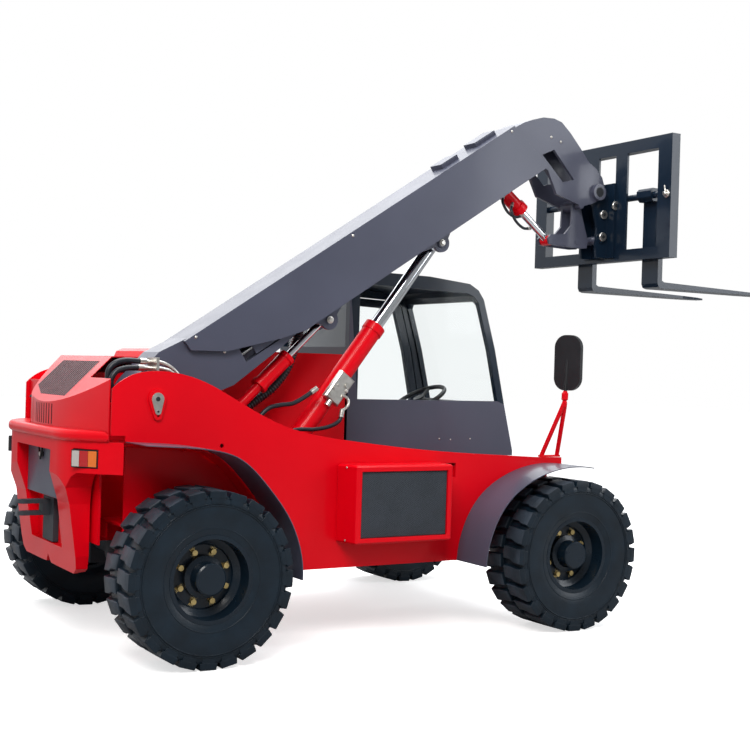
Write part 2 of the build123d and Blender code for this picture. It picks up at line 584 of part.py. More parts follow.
def hood_form(inset):
    plan = hood_plan(HOOD_BOTTOM)
    if inset:
        plan = offset(plan, amount=-inset, kind=Kind.INTERSECTION)
    solid = extrude(plan, amount=600, dir=(0, 0, 1))
    top = HOOD_TOP - inset
    foot = -700
    front = HOOD_FRONT_X + 1
    side = [(foot, HOOD_BOTTOM - 1), (front, HOOD_BOTTOM - 1), (front, top), (HOOD_SLOPE_X, top),
            (foot, top + foot - HOOD_SLOPE_X)]
    return solid & plate_xz(side, -900, 900)


hood = hood_form(0) - hood_form(HOOD_SHEET)
hood -= block(HOOD_SEAM_X, HOOD_FRONT_X + 1, HOOD_RIGHT - 9, -430, HOOD_BOTTOM - 2, HOOD_TOP + 1)
hood -= block(HOOD_SLOPE_X - 2, HOOD_FRONT_X + 1, -440, -312, HOOD_BOTTOM - 2, HOOD_TOP + 1)
hood -= block(HOOD_FRONT_X - 20, HOOD_FRONT_X + 1, -320, HOOD_LEFT - HOOD_SHEET, HOOD_BOTTOM - 2, HOOD_TOP - 60)
slots = []
for n in range(SLOPE_SLOTS):
    y = (n - (SLOPE_SLOTS - 1) / 2) * SLOT_PITCH
    low = -545 + max(0, y - 110) * 0.22
    high = -352
    middle = ((low + high) / 2, (low + high) / 2 + HOOD_TOP - HOOD_SLOPE_X)
    slots.append(Pos(middle[0], y, middle[1]) * Rot(0, -45, 0) * Box((high - low) * sqrt(2), SLOT, 40))
for n in range(REAR_SLOTS):
    y = (n - 5) * 42
    slots.append(block(-700, -500, y - SLOT / 2, y + SLOT / 2, 1210, 1322))
hood = hood - Compound(children=slots)
hood += rod_y((HOOD_FRONT_X + 2, HOOD_TOP - 8), 8, -200, HOOD_LEFT - 60)
save("engine_hood", hood)

# --- left cover and engine ---
COVER_REAR_X = 112
COVER_TOP = 1650
COVER_FRONT_X = CAB_X - 20
COVER = [(COVER_REAR_X, 1100), (COVER_REAR_X, COVER_TOP - 60), (COVER_REAR_X + 18, COVER_TOP - 18),
         (COVER_REAR_X + 60, COVER_TOP), (COVER_FRONT_X - 30, COVER_TOP), (COVER_FRONT_X, COVER_TOP - 16),
         (COVER_FRONT_X, 910), (belly_rear + 20, 910), (belly_rear + 20, 1010), (400, 1014), (250, 1020)]
COVER_RIGHT_Y = TRENCH_IN_Y + CLEAR
COVER_LEFT_Y = PLATE_IN - CLEAR
cover_face = face_xz(COVER)
cover_inside = offset(cover_face, amount=-HOOD_SHEET, kind=Kind.INTERSECTION)
left_box = slab(cover_face, COVER_RIGHT_Y, COVER_LEFT_Y)
left_box -= slab(cover_inside, COVER_RIGHT_Y + HOOD_SHEET, COVER_LEFT_Y - HOOD_SHEET)
left_box -= block(COVER_REAR_X - 1, COVER_FRONT_X - 40, COVER_RIGHT_Y + HOOD_SHEET, 320, 850, 1350)
DECK_Z = 1440
deck_right = HOOD_LEFT + 2 * CLEAR
left_box += block(-420, COVER_REAR_X + 3, deck_right, COVER_LEFT_Y, DECK_Z - HOOD_SHEET, DECK_Z)
left_box += block(-420, -420 + HOOD_SHEET, deck_right, COVER_LEFT_Y, HOOD_BOTTOM, DECK_Z)
save("left_cover", left_box)
save("engine_block", block(-230, 480, -180, 300, 740, 1330))

# --- cooler box on the right side ---
COOLER_X = (905, WHEELBASE - 812)
COOLER_OUT = 180
COOLER_Z = (573, 1018)
COOLER_RIM = 34
cooler_out_y = -BODY_HALF - COOLER_OUT
x0, x1 = COOLER_X
cooler_plan = [(x0, -BODY_HALF), (x0 + 30, cooler_out_y), (x1 - 22, cooler_out_y), (x1, -BODY_HALF)]
cooler = plate_xy(cooler_plan, *COOLER_Z)
cooler = fillet(cooler.edges().filter_by(Axis.Z), 12)
outer_edges = cooler.edges().filter_by_position(Axis.Y, cooler_out_y - 1, cooler_out_y + 1)
cooler = chamfer(outer_edges.filter_by(Axis.X), 10)
cooler -= block(x0 + 30 + COOLER_RIM, x1 - 22 - COOLER_RIM, cooler_out_y - 1, cooler_out_y + 30,
                COOLER_Z[0] + COOLER_RIM, COOLER_Z[1] - COOLER_RIM)
save("cooler_box", cooler)
mesh = block(x0 + 30 + COOLER_RIM, x1 - 22 - COOLER_RIM, cooler_out_y + 8, cooler_out_y + 14,
             COOLER_Z[0] + COOLER_RIM, COOLER_Z[1] - COOLER_RIM)
save("cooler_mesh", mesh)

# --- hoses and pipes ---
HOSE_ROUTES = [[(-251, 1568), (-328, 1572), (-385, 1558), (-424, 1520), (-424, 1445), (-406, 1400), (-406, 1350)],
               [(-276, 1533), (-345, 1530), (-398, 1512), (-424, 1465), (-412, 1408), (-412, 1350)]]
PIPE_ROUTES = [[(-20, 1430), (-20, 1490), (-62, 1535), (-128, 1567), (-250, 1568)],
               [(-45, 1430), (-45, 1475), (-85, 1518), (-150, 1533), (-275, 1533)]]
BRACKET_X = -190


def placed(route, y):
    return [at_y(point, y) for point in route]


hoses = [hose(placed(route, y), HOSE) for route, y in zip(HOSE_ROUTES, HOSE_Y)]
save("rear_hoses", hoses[0] + hoses[1])
pipes = block(BRACKET_X - 8, BRACKET_X + 8, -PLATE_IN, HOSE_Y[0] + 25, 1490, 1590)
for route, y in zip(PIPE_ROUTES, HOSE_Y):
    pipes += hose(placed(route, y), PIPE)
    pipes += rod_x(y, route[-1][1], HOSE + 2, route[-1][0], route[-1][0] + 34)
save("rear_pipes", pipes)
CONDUIT_ROUTE = [(834, 1822), (815, 1722), (789, 1636), (738, 1550), (663, 1476), (573, 1412), (482, 1350),
                 (390, 1240), CONDUIT_FOOT]
conduit = hose(placed(CONDUIT_ROUTE, CONDUIT_Y), CONDUIT)
under_boom = block(800, 1300, CONDUIT_Y - 50, CONDUIT_Y + 50, BOOM_UNDERSIDE - 2, 0)
save("boom_conduit", conduit - boom_to_world(under_boom))
# --- cab ---
CAB_SIDE = ahead([(0, 620), (460, 620), (500, 740), (562, 860), (690, 1006), (1311, 1006), (1311, 1040),
                  (1230, 1350), (1140, 1718), (1036, 2049), (990, 2110), (917, 2149), (595, 2178),
                  (150, 2182), (50, 2176), (6, 2150), (0, 2100)], CAB_X)
CAB_INSIDE = ahead([(40, 660), (432, 660), (466, 758), (532, 886), (672, 1046), (1260, 1046), (1192, 1350),
                    (1102, 1708), (1000, 2030), (962, 2076), (905, 2108), (593, 2138), (150, 2142),
                    (50, 2136)], CAB_X)
cab = plate_xz(CAB_SIDE, CAB_RIGHT_Y, CAB_LEFT_Y)
cab -= plate_xz(CAB_INSIDE, CAB_RIGHT_Y + CAB_WALL, CAB_LEFT_Y - CAB_WALL)
RIGHT_WINDOW = ahead([(72, 1372), (1174, 1372), (1092, 1712), (992, 2030), (956, 2066), (900, 2086),
                      (120, 2100), (88, 2090), (72, 2050)], CAB_X)
window_cut = plate_xz(RIGHT_WINDOW, CAB_RIGHT_Y - 1, CAB_RIGHT_Y + CAB_WALL + 1)
cab -= window_cut
DOOR = ahead([(66, 672), (436, 672), (456, 800), (640, 1085), (1196, 1085), (1132, 1350), (1058, 1700),
              (962, 2020), (900, 2066), (120, 2090), (84, 2080), (66, 2040)], CAB_X)
cab -= plate_xz(DOOR, CAB_LEFT_Y - CAB_WALL - 1, CAB_LEFT_Y + 1)
PANE_RIGHT = CAB_RIGHT_Y + 50
PANE_LEFT = CAB_LEFT_Y - 50
FRONT_CUT = [(PANE_RIGHT, 1360), (PANE_LEFT, 1360), (PANE_LEFT, 2010), (PANE_LEFT - 30, 2040),
             (PANE_RIGHT + 30, 2040), (PANE_RIGHT, 2010)]
cab -= plate_yz(FRONT_CUT, CAB_X + 950, CAB_X + 1400)
REAR_CUT = [(PANE_RIGHT, 1700), (PANE_LEFT, 1700), (PANE_LEFT, 2060), (PANE_LEFT - 30, 2090),
            (PANE_RIGHT + 30, 2090), (PANE_RIGHT, 2060)]
cab -= plate_yz(REAR_CUT, CAB_X - 10, CAB_X + CAB_WALL + 5)
save("cab_shell", cab)

PANE_GAP = 0.5


def inset_face(points, gap):
    return offset(face_xz(points), amount=-gap, kind=Kind.INTERSECTION)


door_face = inset_face(DOOR, SEAM + 1)
door = slab(door_face, CAB_LEFT_Y - CAB_WALL + 2, CAB_LEFT_Y)
DOOR_WINDOW = ahead([(130, 1130), (1108, 1130), (1064, 1350), (990, 1700), (904, 1985), (870, 2004),
                     (150, 2026), (130, 2000)], CAB_X)
LOW_WINDOW = ahead([(130, 740), (376, 740), (400, 850), (538, 1070), (130, 1070)], CAB_X)
for pane in (DOOR_WINDOW, LOW_WINDOW):
    door -= plate_xz(pane, CAB_LEFT_Y - CAB_WALL, CAB_LEFT_Y + 1)
door += block(CAB_X + 1000, CAB_X + 1100, CAB_LEFT_Y - 2, CAB_LEFT_Y + 26, 1096, 1118)
HINGE_X = CAB_X + 58
HINGE_Y = CAB_LEFT_Y + 14
for z in (740, 1880):
    door += rod_z(HINGE_X, HINGE_Y, 10, z, z + 90)
    door += block(HINGE_X, HINGE_X + 40, HINGE_Y - 12, HINGE_Y - 2, z, z + 90)
    door += block(HINGE_X + 20, HINGE_X + 40, CAB_LEFT_Y - 2, HINGE_Y - 2, z, z + 90)
save("cab_door", door)
glass_y = CAB_LEFT_Y - 22
door_glass = slab(inset_face(DOOR_WINDOW, PANE_GAP), glass_y, glass_y + 6)
door_glass += slab(inset_face(LOW_WINDOW, PANE_GAP), glass_y, glass_y + 6)
save("door_glass", door_glass)
glass = slab(inset_face(RIGHT_WINDOW, PANE_GAP), CAB_RIGHT_Y + 14, CAB_RIGHT_Y + 20)
FRONT_LINE = ahead([(1214, 1360.5), (1124, 1717), (1021, 2039.5), (1015, 2039.5), (1118, 1716),
                    (1208, 1360.5)], CAB_X)
front_pane = offset(make_face(Polyline(*[(CAB_X + 950, y, z) for y, z in FRONT_CUT], close=True)),
                    amount=-PANE_GAP, kind=Kind.INTERSECTION)
glass += plate_xz(FRONT_LINE, CAB_RIGHT_Y, CAB_LEFT_Y) & extrude(front_pane, amount=450, dir=(1, 0, 0))
rear_pane = offset(make_face(Polyline(*[(CAB_X + 15, y, z) for y, z in REAR_CUT], close=True)),
                   amount=-PANE_GAP, kind=Kind.INTERSECTION)
glass += extrude(rear_pane, amount=6, dir=(1, 0, 0))
save("cab_glass", glass)
SEAT_X = CAB_X + 150
SEAT_Y = (CAB_RIGHT_Y + CAB_LEFT_Y) / 2 + 10
seat = block(SEAT_X, SEAT_X + 440, SEAT_Y - 240, SEAT_Y + 240, 1010, 1110)
seat = fillet(seat.edges().filter_by(Axis.X), 30)
back = plate_xz([(SEAT_X, 1060), (SEAT_X + 90, 1060), (SEAT_X + 20, 1640), (SEAT_X - 60, 1640)],
                SEAT_Y - 220, SEAT_Y + 220)
seat += fillet(back.edges().filter_by(lambda e: abs(e.tangent_at(0).Y) < 0.1 and e.length > 300), 30)
seat += block(SEAT_X - 10, SEAT_X + 240, SEAT_Y - 150, SEAT_Y + 150, 662, 1010)
save("seat", seat)
WHEEL_LEAN = 27.8
column = bar((CAB_X + 1048, SEAT_Y, 1012), (CAB_X + 866, SEAT_Y, 1356), 42)
column -= block(CAB_X + 900, CAB_X + 1200, SEAT_Y - 180, SEAT_Y + 220, 900, 1046)
steering_plane = Location((CAB_X + 860, SEAT_Y, 1368), (0, -WHEEL_LEAN, 0))
steering = steering_plane * Torus(185, 15)
steering += steering_plane * Cylinder(40, 30)
for turn in (30, 150, 270):
    steering += steering_plane * Rot(0, 0, turn) * Pos(95, 0, 0) * Box(180, 24, 12)
save("steering_column", column + steering)

# --- mirror ---
MIRROR_X = WHEELBASE + 60
MIRROR_Y = -BODY_HALF - 100
mirror_arm = bar((MIRROR_X - 64, -BODY_HALF + 30, 1046), (MIRROR_X - 4, MIRROR_Y, 1380), 10)
mirror_arm += bar((MIRROR_X + 61, -BODY_HALF + 30, 1046), (MIRROR_X + 6, MIRROR_Y, 1380), 10)
mirror_arm += bar((MIRROR_X + 1, MIRROR_Y, 1360), (MIRROR_X + 16, MIRROR_Y, 1660), 10)
mirror_arm += block(MIRROR_X - 79, MIRROR_X + 76, -BODY_HALF + 14, -BODY_HALF + 46, 1038, 1050)
head = Box(40, 190, 350)
head = fillet(head.edges().filter_by(Axis.X), 80)
head = fillet(head.edges().group_by(Axis.X)[-1], 12)
head = Pos(MIRROR_X + 28, MIRROR_Y, 1640) * Rot(0, 0, 18) * head
save("mirror", mirror_arm + head)

# --- outer boom ---
OUTER_SIDE = [(351, 144), (357, 81), (536, -35), (861, -148), (1023, BOOM_UNDERSIDE), (3110, -199), (2993, 149)]
NECK = [(-90, 40), (-60, 85), (0, 112), (204, 164), (420, 140), (1000, 100), (1000, -180), (846, -200),
        (488, -225), (300, -190), (0, -112), (-60, -85), (-90, -40)]
outer = plate_xz(OUTER_SIDE, BOOM_Y - BOOM_HALF, BOOM_Y + BOOM_HALF)
outer += plate_xz(NECK, BOOM_Y - NECK_HALF, BOOM_Y + NECK_HALF)
outer -= block(620, 3200, BOOM_Y - INNER_HALF - CLEAR, BOOM_Y + INNER_HALF + CLEAR,
               INNER_BOTTOM - CLEAR, INNER_TOP + CLEAR)
outer -= block(2560, 3200, BOOM_Y - 84, BOOM_Y + 84, -220, -100)
outer -= block(3020, 3200, BOOM_Y - INNER_HALF - CLEAR, BOOM_Y + INNER_HALF + CLEAR, -230, -100)
outer -= rod_y((0, 0), BOOM_PIN + PIN_CLEAR, BOOM_Y - 200, BOOM_Y + 200)
lift_eye = boom_point(LIFT_EYE)
level_eye = boom_point(LEVEL_EYE)
for eye, half, bore, back, front in ((lift_eye, 85, 30, 250, 120), (level_eye, 70, 20, 110, 150)):
    for side in (-1, 1):
        y0, y1 = sorted((BOOM_Y + side * (half - 11), BOOM_Y + side * (half + 11)))
        outer += plate_xz([(eye[0] - back, -190), (eye[0] + front, -190), (eye[0] + 58, eye[1]),
                           (eye[0] - 58, eye[1])], y0, y1)
        outer += rod_y(eye, 58, y0, y1)
        y0, y1 = sorted((BOOM_Y + side * (half + 8), BOOM_Y + side * (half + 20)))
        outer += rod_y(eye, bore, y0, y1)
outer -= block(lift_eye[0] - 560, lift_eye[0] + 110, BOOM_Y - 72, BOOM_Y + 72, -260, -140)
outer -= block(level_eye[0] - 600, level_eye[0] + 80, BOOM_Y - 54, BOOM_Y + 54, -260, -140)
guides = block(2420, 2560, BOOM_Y - 60, BOOM_Y + 60, 140, 178)
guides += block(2720, 2900, BOOM_Y - 60, BOOM_Y + 60, 140, 178)
save("boom_outer", boom_to_world(outer + guides))

# --- inner boom and gooseneck ---
inner = block(700, 3060, BOOM_Y - INNER_HALF, BOOM_Y + INNER_HALF, INNER_BOTTOM, INNER_TOP)
inner -= block(690, 3050, BOOM_Y - INNER_HALF + BOOM_WALL, BOOM_Y + INNER_HALF - BOOM_WALL,
               INNER_BOTTOM + BOOM_WALL, INNER_TOP - BOOM_WALL)
HEAD = [(3042, 128), (3110, 124), (3177, 109), (3265, 83), (3343, 37), (3388, -12), (3418, -106), (3443, -228),
        (3462, -342), (3495, -405), (3512, -481), (3500, -540), (3470, -590), (3424, -604), (3341, -590),
        (3261, -566), (3200, -500), (3107, -392), (3122, -225), (3060, -150), (3042, -150)]
neck_head = plate_xz(HEAD, BOOM_Y - INNER_HALF, BOOM_Y + INNER_HALF)
HEAD_VOID = [(3030, 116), (3105, 112), (3170, 98), (3258, 72), (3334, 30), (3376, -16), (3406, -108),
             (3431, -230), (3444, -300), (3560, -330), (3560, -700), (3000, -700), (3000, -160),
             (3030, -140)]
neck_head -= plate_xz(HEAD_VOID, BOOM_Y - INNER_HALF + 22, BOOM_Y + INNER_HALF - 22)
SLOT = [(3132, -120), (3238, -138), (3286, -381), (3194, -353)]
neck_head -= plate_xz(SLOT, BOOM_Y - INNER_HALF - 1, BOOM_Y + INNER_HALF + 1)
inner += neck_head
inner -= block(690, 3070, BOOM_Y - 78, BOOM_Y + 78, INNER_BOTTOM - 1, INNER_BOTTOM + 30)
head_uw = boom_point(HEAD_PIN)
lever_uw = boom_point(LEVER_PIN)
for y0, y1 in ((BOOM_Y - INNER_HALF - 26, BOOM_Y - INNER_HALF), (BOOM_Y + INNER_HALF, BOOM_Y + INNER_HALF + 26)):
    inner += rod_y(head_uw, 54, y0, y1)
inner += rod_y(head_uw, 54, BOOM_Y - INNER_HALF, BOOM_Y - INNER_HALF + 22)
inner += rod_y(head_uw, 54, BOOM_Y + INNER_HALF - 22, BOOM_Y + INNER_HALF)
inner -= rod_y(head_uw, HEAD_BORE + PIN_CLEAR, BOOM_Y - 200, BOOM_Y + 200)
inner += rod_y(lever_uw, 22, BOOM_Y - INNER_HALF, BOOM_Y + INNER_HALF)
inner += rod_y(TILT_PIN, 16, BOOM_Y - INNER_HALF + 5, BOOM_Y + INNER_HALF - 5)
save("boom_inner", boom_to_world(inner))

# --- coupler, carriage, forks ---
CHEEK = ahead([(-170, 2838), (-92, 2845), (0, 2862), (0, 2360), (-100, 2360), (-110, 2440), (-100, 2560),
               (-140, 2700), (-185, 2760)], CARRIAGE_X)
coupler = plate_xz(CHEEK, BOOM_Y - 84, BOOM_Y - 66) + plate_xz(CHEEK, BOOM_Y + 66, BOOM_Y + 84)
coupler += block(CARRIAGE_X - 16, CARRIAGE_X, BOOM_Y - 150, BOOM_Y + 150, 2360, 2862)
coupler += rod_y(HEAD_PIN, HEAD_BORE, BOOM_Y - 136, BOOM_Y + 136)
for y in (BOOM_Y - 92, BOOM_Y + 80):
    coupler += rod_y(LINK_PIN, 24, y, y + 12)
save("coupler", coupler)
y_right, y_left = CARRIAGE_Y
z_low, z_high = CARRIAGE_Z
x_back = CARRIAGE_X + 1
carriage = block(x_back, x_back + POST_DEPTH, y_right, y_right + 120, z_low, z_high)
carriage += block(x_back, x_back + POST_DEPTH, y_left - 120, y_left, z_low, z_high)
carriage += block(x_back, x_back + POST_DEPTH, y_right, y_left, z_high - 80, z_high)
carriage += block(x_back, x_back + POST_DEPTH, y_right, y_left, z_low, z_low + 75)
for y in (-720, -440):
    carriage += block(x_back, x_back + 16, y, y + 110, z_low, z_high)
shaft_x = CARRIAGE_X + 40
carriage += rod_y((shaft_x, SHAFT_Z), SHAFT_RADIUS, y_right + 10, y_left - 10)
save("carriage", carriage)
fork_front = FORK_X + FORK_THICK
FORK_SIDE = [(FORK_X, 2800), (fork_front, 2800), (fork_front, 2200), (FORK_X + 60, 2190), (FORK_TIP, 2164),
             (FORK_TIP, 2152), (fork_front, 2148), (FORK_X + 12, 2156), (FORK_X, 2180)]
HOOK = [(FORK_X + 20, 2715), (FORK_X + 20, 2800), (shaft_x - 20, 2800), (shaft_x - 38, 2782),
        (shaft_x - 38, 2742), (shaft_x - 10, 2715)]
for side_name, centre in (("right", FORK_RIGHT_Y), ("left", FORK_LEFT_Y)):
    fork = plate_xz(FORK_SIDE, centre - FORK_WIDTH / 2, centre + FORK_WIDTH / 2)
    hook = plate_xz(HOOK, centre - FORK_WIDTH / 2 + 10, centre + FORK_WIDTH / 2 - 10)
    fork += hook
    fork -= rod_y((shaft_x, SHAFT_Z), SHAFT_RADIUS + PIN_CLEAR, centre - 100, centre + 100)
    taper = plate_xy([(FORK_X - 90, centre - 80), (FORK_X - 90, centre + 80), (FORK_TIP - 300, centre + 80),
                      (FORK_TIP - 80, centre + 60), (FORK_TIP, centre + 32), (FORK_TIP, centre - 32),
                      (FORK_TIP - 80, centre - 60), (FORK_TIP - 300, centre - 80)], 2100, 2900)
    save(f"fork_{side_name}", fork & taper)

# --- cylinders ---
def sleeve(start, way, radius, begin, end):
    """Round sleeve on a cylinder's own line, between two lengths from its pin."""
    return bar(tuple(start + way * begin), tuple(start + way * end), radius)


def ram(name, pin, eye, y, sleeves, rod, lug, pin_radius, lug_half, tail, hollow):
    """Barrel of (radius, begin, end) sleeves on its pin, and rod with its eye.

    tail is the rod's inner end and hollow the bore's, both measured from the pin."""
    start = Vector(*at_y(pin, y))
    end = Vector(*at_y(eye, y))
    length = (end - start).length
    way = (end - start).normalized()
    tube = rod_y(pin, lug, y - lug_half, y + lug_half)
    for radius, begin, stop in sleeves:
        tube += sleeve(start, way, radius, begin, stop)
    tube -= rod_y(pin, pin_radius + PIN_CLEAR, y - 200, y + 200)
    tube -= sleeve(start, way, rod + PIN_CLEAR, hollow, length + 50)
    save(f"{name}_barrel", tube)
    piston = sleeve(start, way, rod, tail, length - lug * 0.7)
    save(f"{name}_rod", piston + rod_y(eye, lug, y - lug_half, y + lug_half))
    print(f"{name}: pin to eye {length:.1f}, direction {degrees(atan2(way.Z, way.X)):.2f}")


LIFT_BARREL = [(60, 32, 1440), (66, 1390, 1440), (66, 70, 96)]
LEVEL_BARREL = [(30, 22, 600), (46, 556, 815), (52, 556, 582), (52, 789, 815)]
TILT_BARREL = [(46, 24, 490), (56, 440, 490)]
ram("lift", LIFT_PIN, LIFT_EYE, BOOM_Y, LIFT_BARREL, 40, 46, 28, 62, 1010, 100)
ram("level", LEVEL_PIN, LEVEL_EYE, BOOM_Y, LEVEL_BARREL, 22, 32, 18, 40, 570, 80)
ram("tilt", world_point(*TILT_PIN), ROD_EYE, BOOM_Y, TILT_BARREL, 25, 34, 16, 38, 212, 19)
VALVE_AT = 960
VALVE = (190, 40, 110)
lift_way = atan2(LIFT_EYE[1] - LIFT_PIN[1], LIFT_EYE[0] - LIFT_PIN[0])
valve = Pos(VALVE_AT, -60 - VALVE[1] / 2, 0) * Box(*VALVE)
valve = chamfer(valve.edges().group_by(Axis.Y)[0], 8)
for along, across in ((-60, 30), (-20, 30), (40, -25)):
    valve += rod_y((VALVE_AT + along, across), 14, -60 - VALVE[1] - 10, -60 - VALVE[1] + 2)
valve += rod_x(-60 - VALVE[1] / 2, 0, 17, VALVE_AT - VALVE[0] / 2 - 34, VALVE_AT - VALVE[0] / 2 + 2)
save("valve_block", Location((LIFT_PIN[0], BOOM_Y, LIFT_PIN[1]), (0, -degrees(lift_way), 0)) * valve)

# --- tilt lever and link ---
LEVER = [(2803, 2720), (2863, 2720), (2890, 2620), (2942, 2470), (2936, 2418), (2880, 2412),
         (2660, 2418), (2612, 2424), (2600, 2460), (2622, 2488), (2740, 2500), (2795, 2560)]
lever = plate_xz(LEVER, BOOM_Y - 60, BOOM_Y - 44) + plate_xz(LEVER, BOOM_Y + 44, BOOM_Y + 60)
lever += rod_y(LEVER_PIN, 34, BOOM_Y - 60, BOOM_Y + 60)
lever -= rod_y(LEVER_PIN, 22 + PIN_CLEAR, BOOM_Y - 100, BOOM_Y + 100)
lever += rod_y(LEVER_HEEL, 20, BOOM_Y - 62, BOOM_Y + 62)
save("tilt_lever", lever)
link = bar(at_y(LEVER_HEEL, BOOM_Y), at_y(LINK_PIN, BOOM_Y), 20, 20, 16)
link += rod_y(LEVER_HEEL, 32, BOOM_Y - 38, BOOM_Y + 38)
link += rod_y(LINK_PIN, 28, BOOM_Y - 58, BOOM_Y + 58)
link -= rod_y(LEVER_HEEL, 20 + PIN_CLEAR, BOOM_Y - 100, BOOM_Y + 100)
save("tilt_link", link)
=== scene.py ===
import math
import bmesh
import bpy
from mathutils import Matrix, Vector
from mathutils.bvhtree import BVHTree


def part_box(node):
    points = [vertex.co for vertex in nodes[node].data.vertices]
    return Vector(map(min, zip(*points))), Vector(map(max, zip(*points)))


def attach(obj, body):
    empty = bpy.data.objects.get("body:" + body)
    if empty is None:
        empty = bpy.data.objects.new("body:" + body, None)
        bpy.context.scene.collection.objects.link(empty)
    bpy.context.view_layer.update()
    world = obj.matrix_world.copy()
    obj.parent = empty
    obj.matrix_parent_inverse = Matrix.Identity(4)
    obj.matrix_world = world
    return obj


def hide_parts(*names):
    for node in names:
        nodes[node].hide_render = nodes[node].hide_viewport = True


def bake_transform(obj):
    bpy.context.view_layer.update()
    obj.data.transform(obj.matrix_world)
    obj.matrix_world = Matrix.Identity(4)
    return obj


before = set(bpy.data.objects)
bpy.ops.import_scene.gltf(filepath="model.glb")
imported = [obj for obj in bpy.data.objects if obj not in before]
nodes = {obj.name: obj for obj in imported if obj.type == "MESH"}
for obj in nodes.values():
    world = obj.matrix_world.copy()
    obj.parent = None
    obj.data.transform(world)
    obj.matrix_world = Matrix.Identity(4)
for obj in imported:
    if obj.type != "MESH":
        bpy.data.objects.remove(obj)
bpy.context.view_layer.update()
scene = bpy.context.scene
pi = math.pi


def link(tree, source, output, target, socket):
    tree.links.new(source.outputs[output], target.inputs[socket])


def setInputs(node, constants):
    for socket, value in constants.items():
        node.inputs[socket].default_value = value


def addNode(tree, kind, constants={}):
    node = tree.nodes.new(kind)
    setInputs(node, constants)
    return node


def addObject(name, data):
    thing = bpy.data.objects.new(name, data)
    scene.collection.objects.link(thing)
    return thing


def newMaterial(name):
    material = bpy.data.materials.new(name)
    material.use_nodes = True
    return material, material.node_tree


# where the camera stands, in metres, and how it looks, in degrees
cameraSettings = {"place": (-4.4665, -6.9865, 1.5567), "heading": -31.503, "tilt": -0.215, "roll": 1.705,
                  "lens": 60.17, "sensor": 36.0}


def makeCamera(settings):
    data = bpy.data.cameras.new("camera")
    data.lens = settings["lens"]
    data.sensor_width = settings["sensor"]
    camera = addObject("camera", data)
    turn = Matrix.Rotation(math.radians(settings["heading"]), 4, "Z")
    tilt = Matrix.Rotation(math.radians(90 + settings["tilt"]), 4, "X")
    roll = Matrix.Rotation(math.radians(settings["roll"]), 4, "Z")
    camera.matrix_world = Matrix.Translation(settings["place"]) @ turn @ tilt @ roll
    scene.camera = camera


makeCamera(cameraSettings)
scene.view_settings.view_transform = "Standard"
print("stage: camera")

# the floor glows a little, so that it melts into the white behind it and keeps the shadow; the sky's
# light fades from back to front, between two values of the direction's Y
studio = {"floorColour": (0.82, 0.82, 0.82, 1), "floorGlow": 0.62, "floorBounce": (0.34, 0.34, 0.34, 1),
          "floorRoughness": 0.95, "floorGloss": 0.1, "floorSize": 90.0,
          "skyColour": (0.95, 0.97, 1.0, 1), "skyStrength": 1.0, "skyFront": 0.30, "skyFade": (-0.5, 0.8),
          "white": (1, 1, 1, 1), "whiteBehind": 1.0}


# a shader that camera rays see and another that everything else meets
def chooseByRay(tree, others, seen, output):
    mix = addNode(tree, "ShaderNodeMixShader")
    path = addNode(tree, "ShaderNodeLightPath")
    link(tree, path, "Is Camera Ray", mix, "Fac")
    link(tree, others, 0, mix, 1)
    link(tree, seen, 0, mix, 2)
    link(tree, mix, 0, output, "Surface")


def makeStudio(settings):
    world = bpy.data.worlds.new("sky")
    scene.world = world
    world.use_nodes = True
    tree = world.node_tree
    tree.nodes.clear()
    sky = addNode(tree, "ShaderNodeBackground", {"Color": settings["skyColour"]})
    plain = addNode(tree, "ShaderNodeBackground", {"Color": settings["white"], "Strength": settings["whiteBehind"]})
    way = addNode(tree, "ShaderNodeTexCoord")
    split = addNode(tree, "ShaderNodeSeparateXYZ")
    low, high = settings["skyFade"]
    fade = addNode(tree, "ShaderNodeMapRange", {"From Min": low, "From Max": high, "To Min": settings["skyFront"],
                                                "To Max": settings["skyStrength"]})
    link(tree, way, "Generated", split, 0)
    link(tree, split, "Y", fade, "Value")
    link(tree, fade, "Result", sky, "Strength")
    chooseByRay(tree, sky, plain, addNode(tree, "ShaderNodeOutputWorld"))

    mesh = bpy.data.meshes.new("floor")
    half = settings["floorSize"] / 2
    mesh.from_pydata([(-half, -half, 0), (half, -half, 0), (half, half, 0), (-half, half, 0)], [], [(0, 1, 2, 3)])
    floor = addObject("floor", mesh)
    material, floorTree = newMaterial("floorPaint")
    shader = floorTree.nodes["Principled BSDF"]
    setInputs(shader, {"Base Color": settings["floorColour"], "Roughness": settings["floorRoughness"],
                       "Specular IOR Level": settings["floorGloss"], "Emission Color": settings["white"],
                       "Emission Strength": settings["floorGlow"]})
    dim = addNode(floorTree, "ShaderNodeBsdfDiffuse", {"Color": settings["floorBounce"]})
    chooseByRay(floorTree, dim, shader, floorTree.nodes["Material Output"])
    mesh.materials.append(material)


# each lamp: place, the point that it faces, width and height in metres, power in watts, colour
lamps = {"key": ((-5.5, -6.5, 7.5), (0.0, -0.4, 1.0), 5.0, 4.0, 840, (1.0, 0.98, 0.95)),
         "fill": ((6.5, -6.0, 4.0), (0.3, -0.3, 1.2), 4.0, 4.0, 260, (0.93, 0.96, 1.0)),
         "top": ((0.5, 1.0, 8.0), (0.0, 0.0, 0.0), 8.0, 6.0, 700, (0.96, 0.98, 1.0)),
         "back": ((1.8, 6.3, 5.7), (-0.5, -0.47, 2.0), 9.0, 6.0, 240, (1.0, 1.0, 1.0))}


def makeLamps(table):
    for name, (place, target, width, height, power, colour) in table.items():
        data = bpy.data.lights.new(name, "AREA")
        data.shape = "RECTANGLE"
        data.size = width
        data.size_y = height
        data.energy = power
        data.color = colour
        lamp = addObject(name, data)
        lamp.location = place
        lamp.rotation_euler = (Vector(target) - Vector(place)).to_track_quat("-Z", "Y").to_euler()


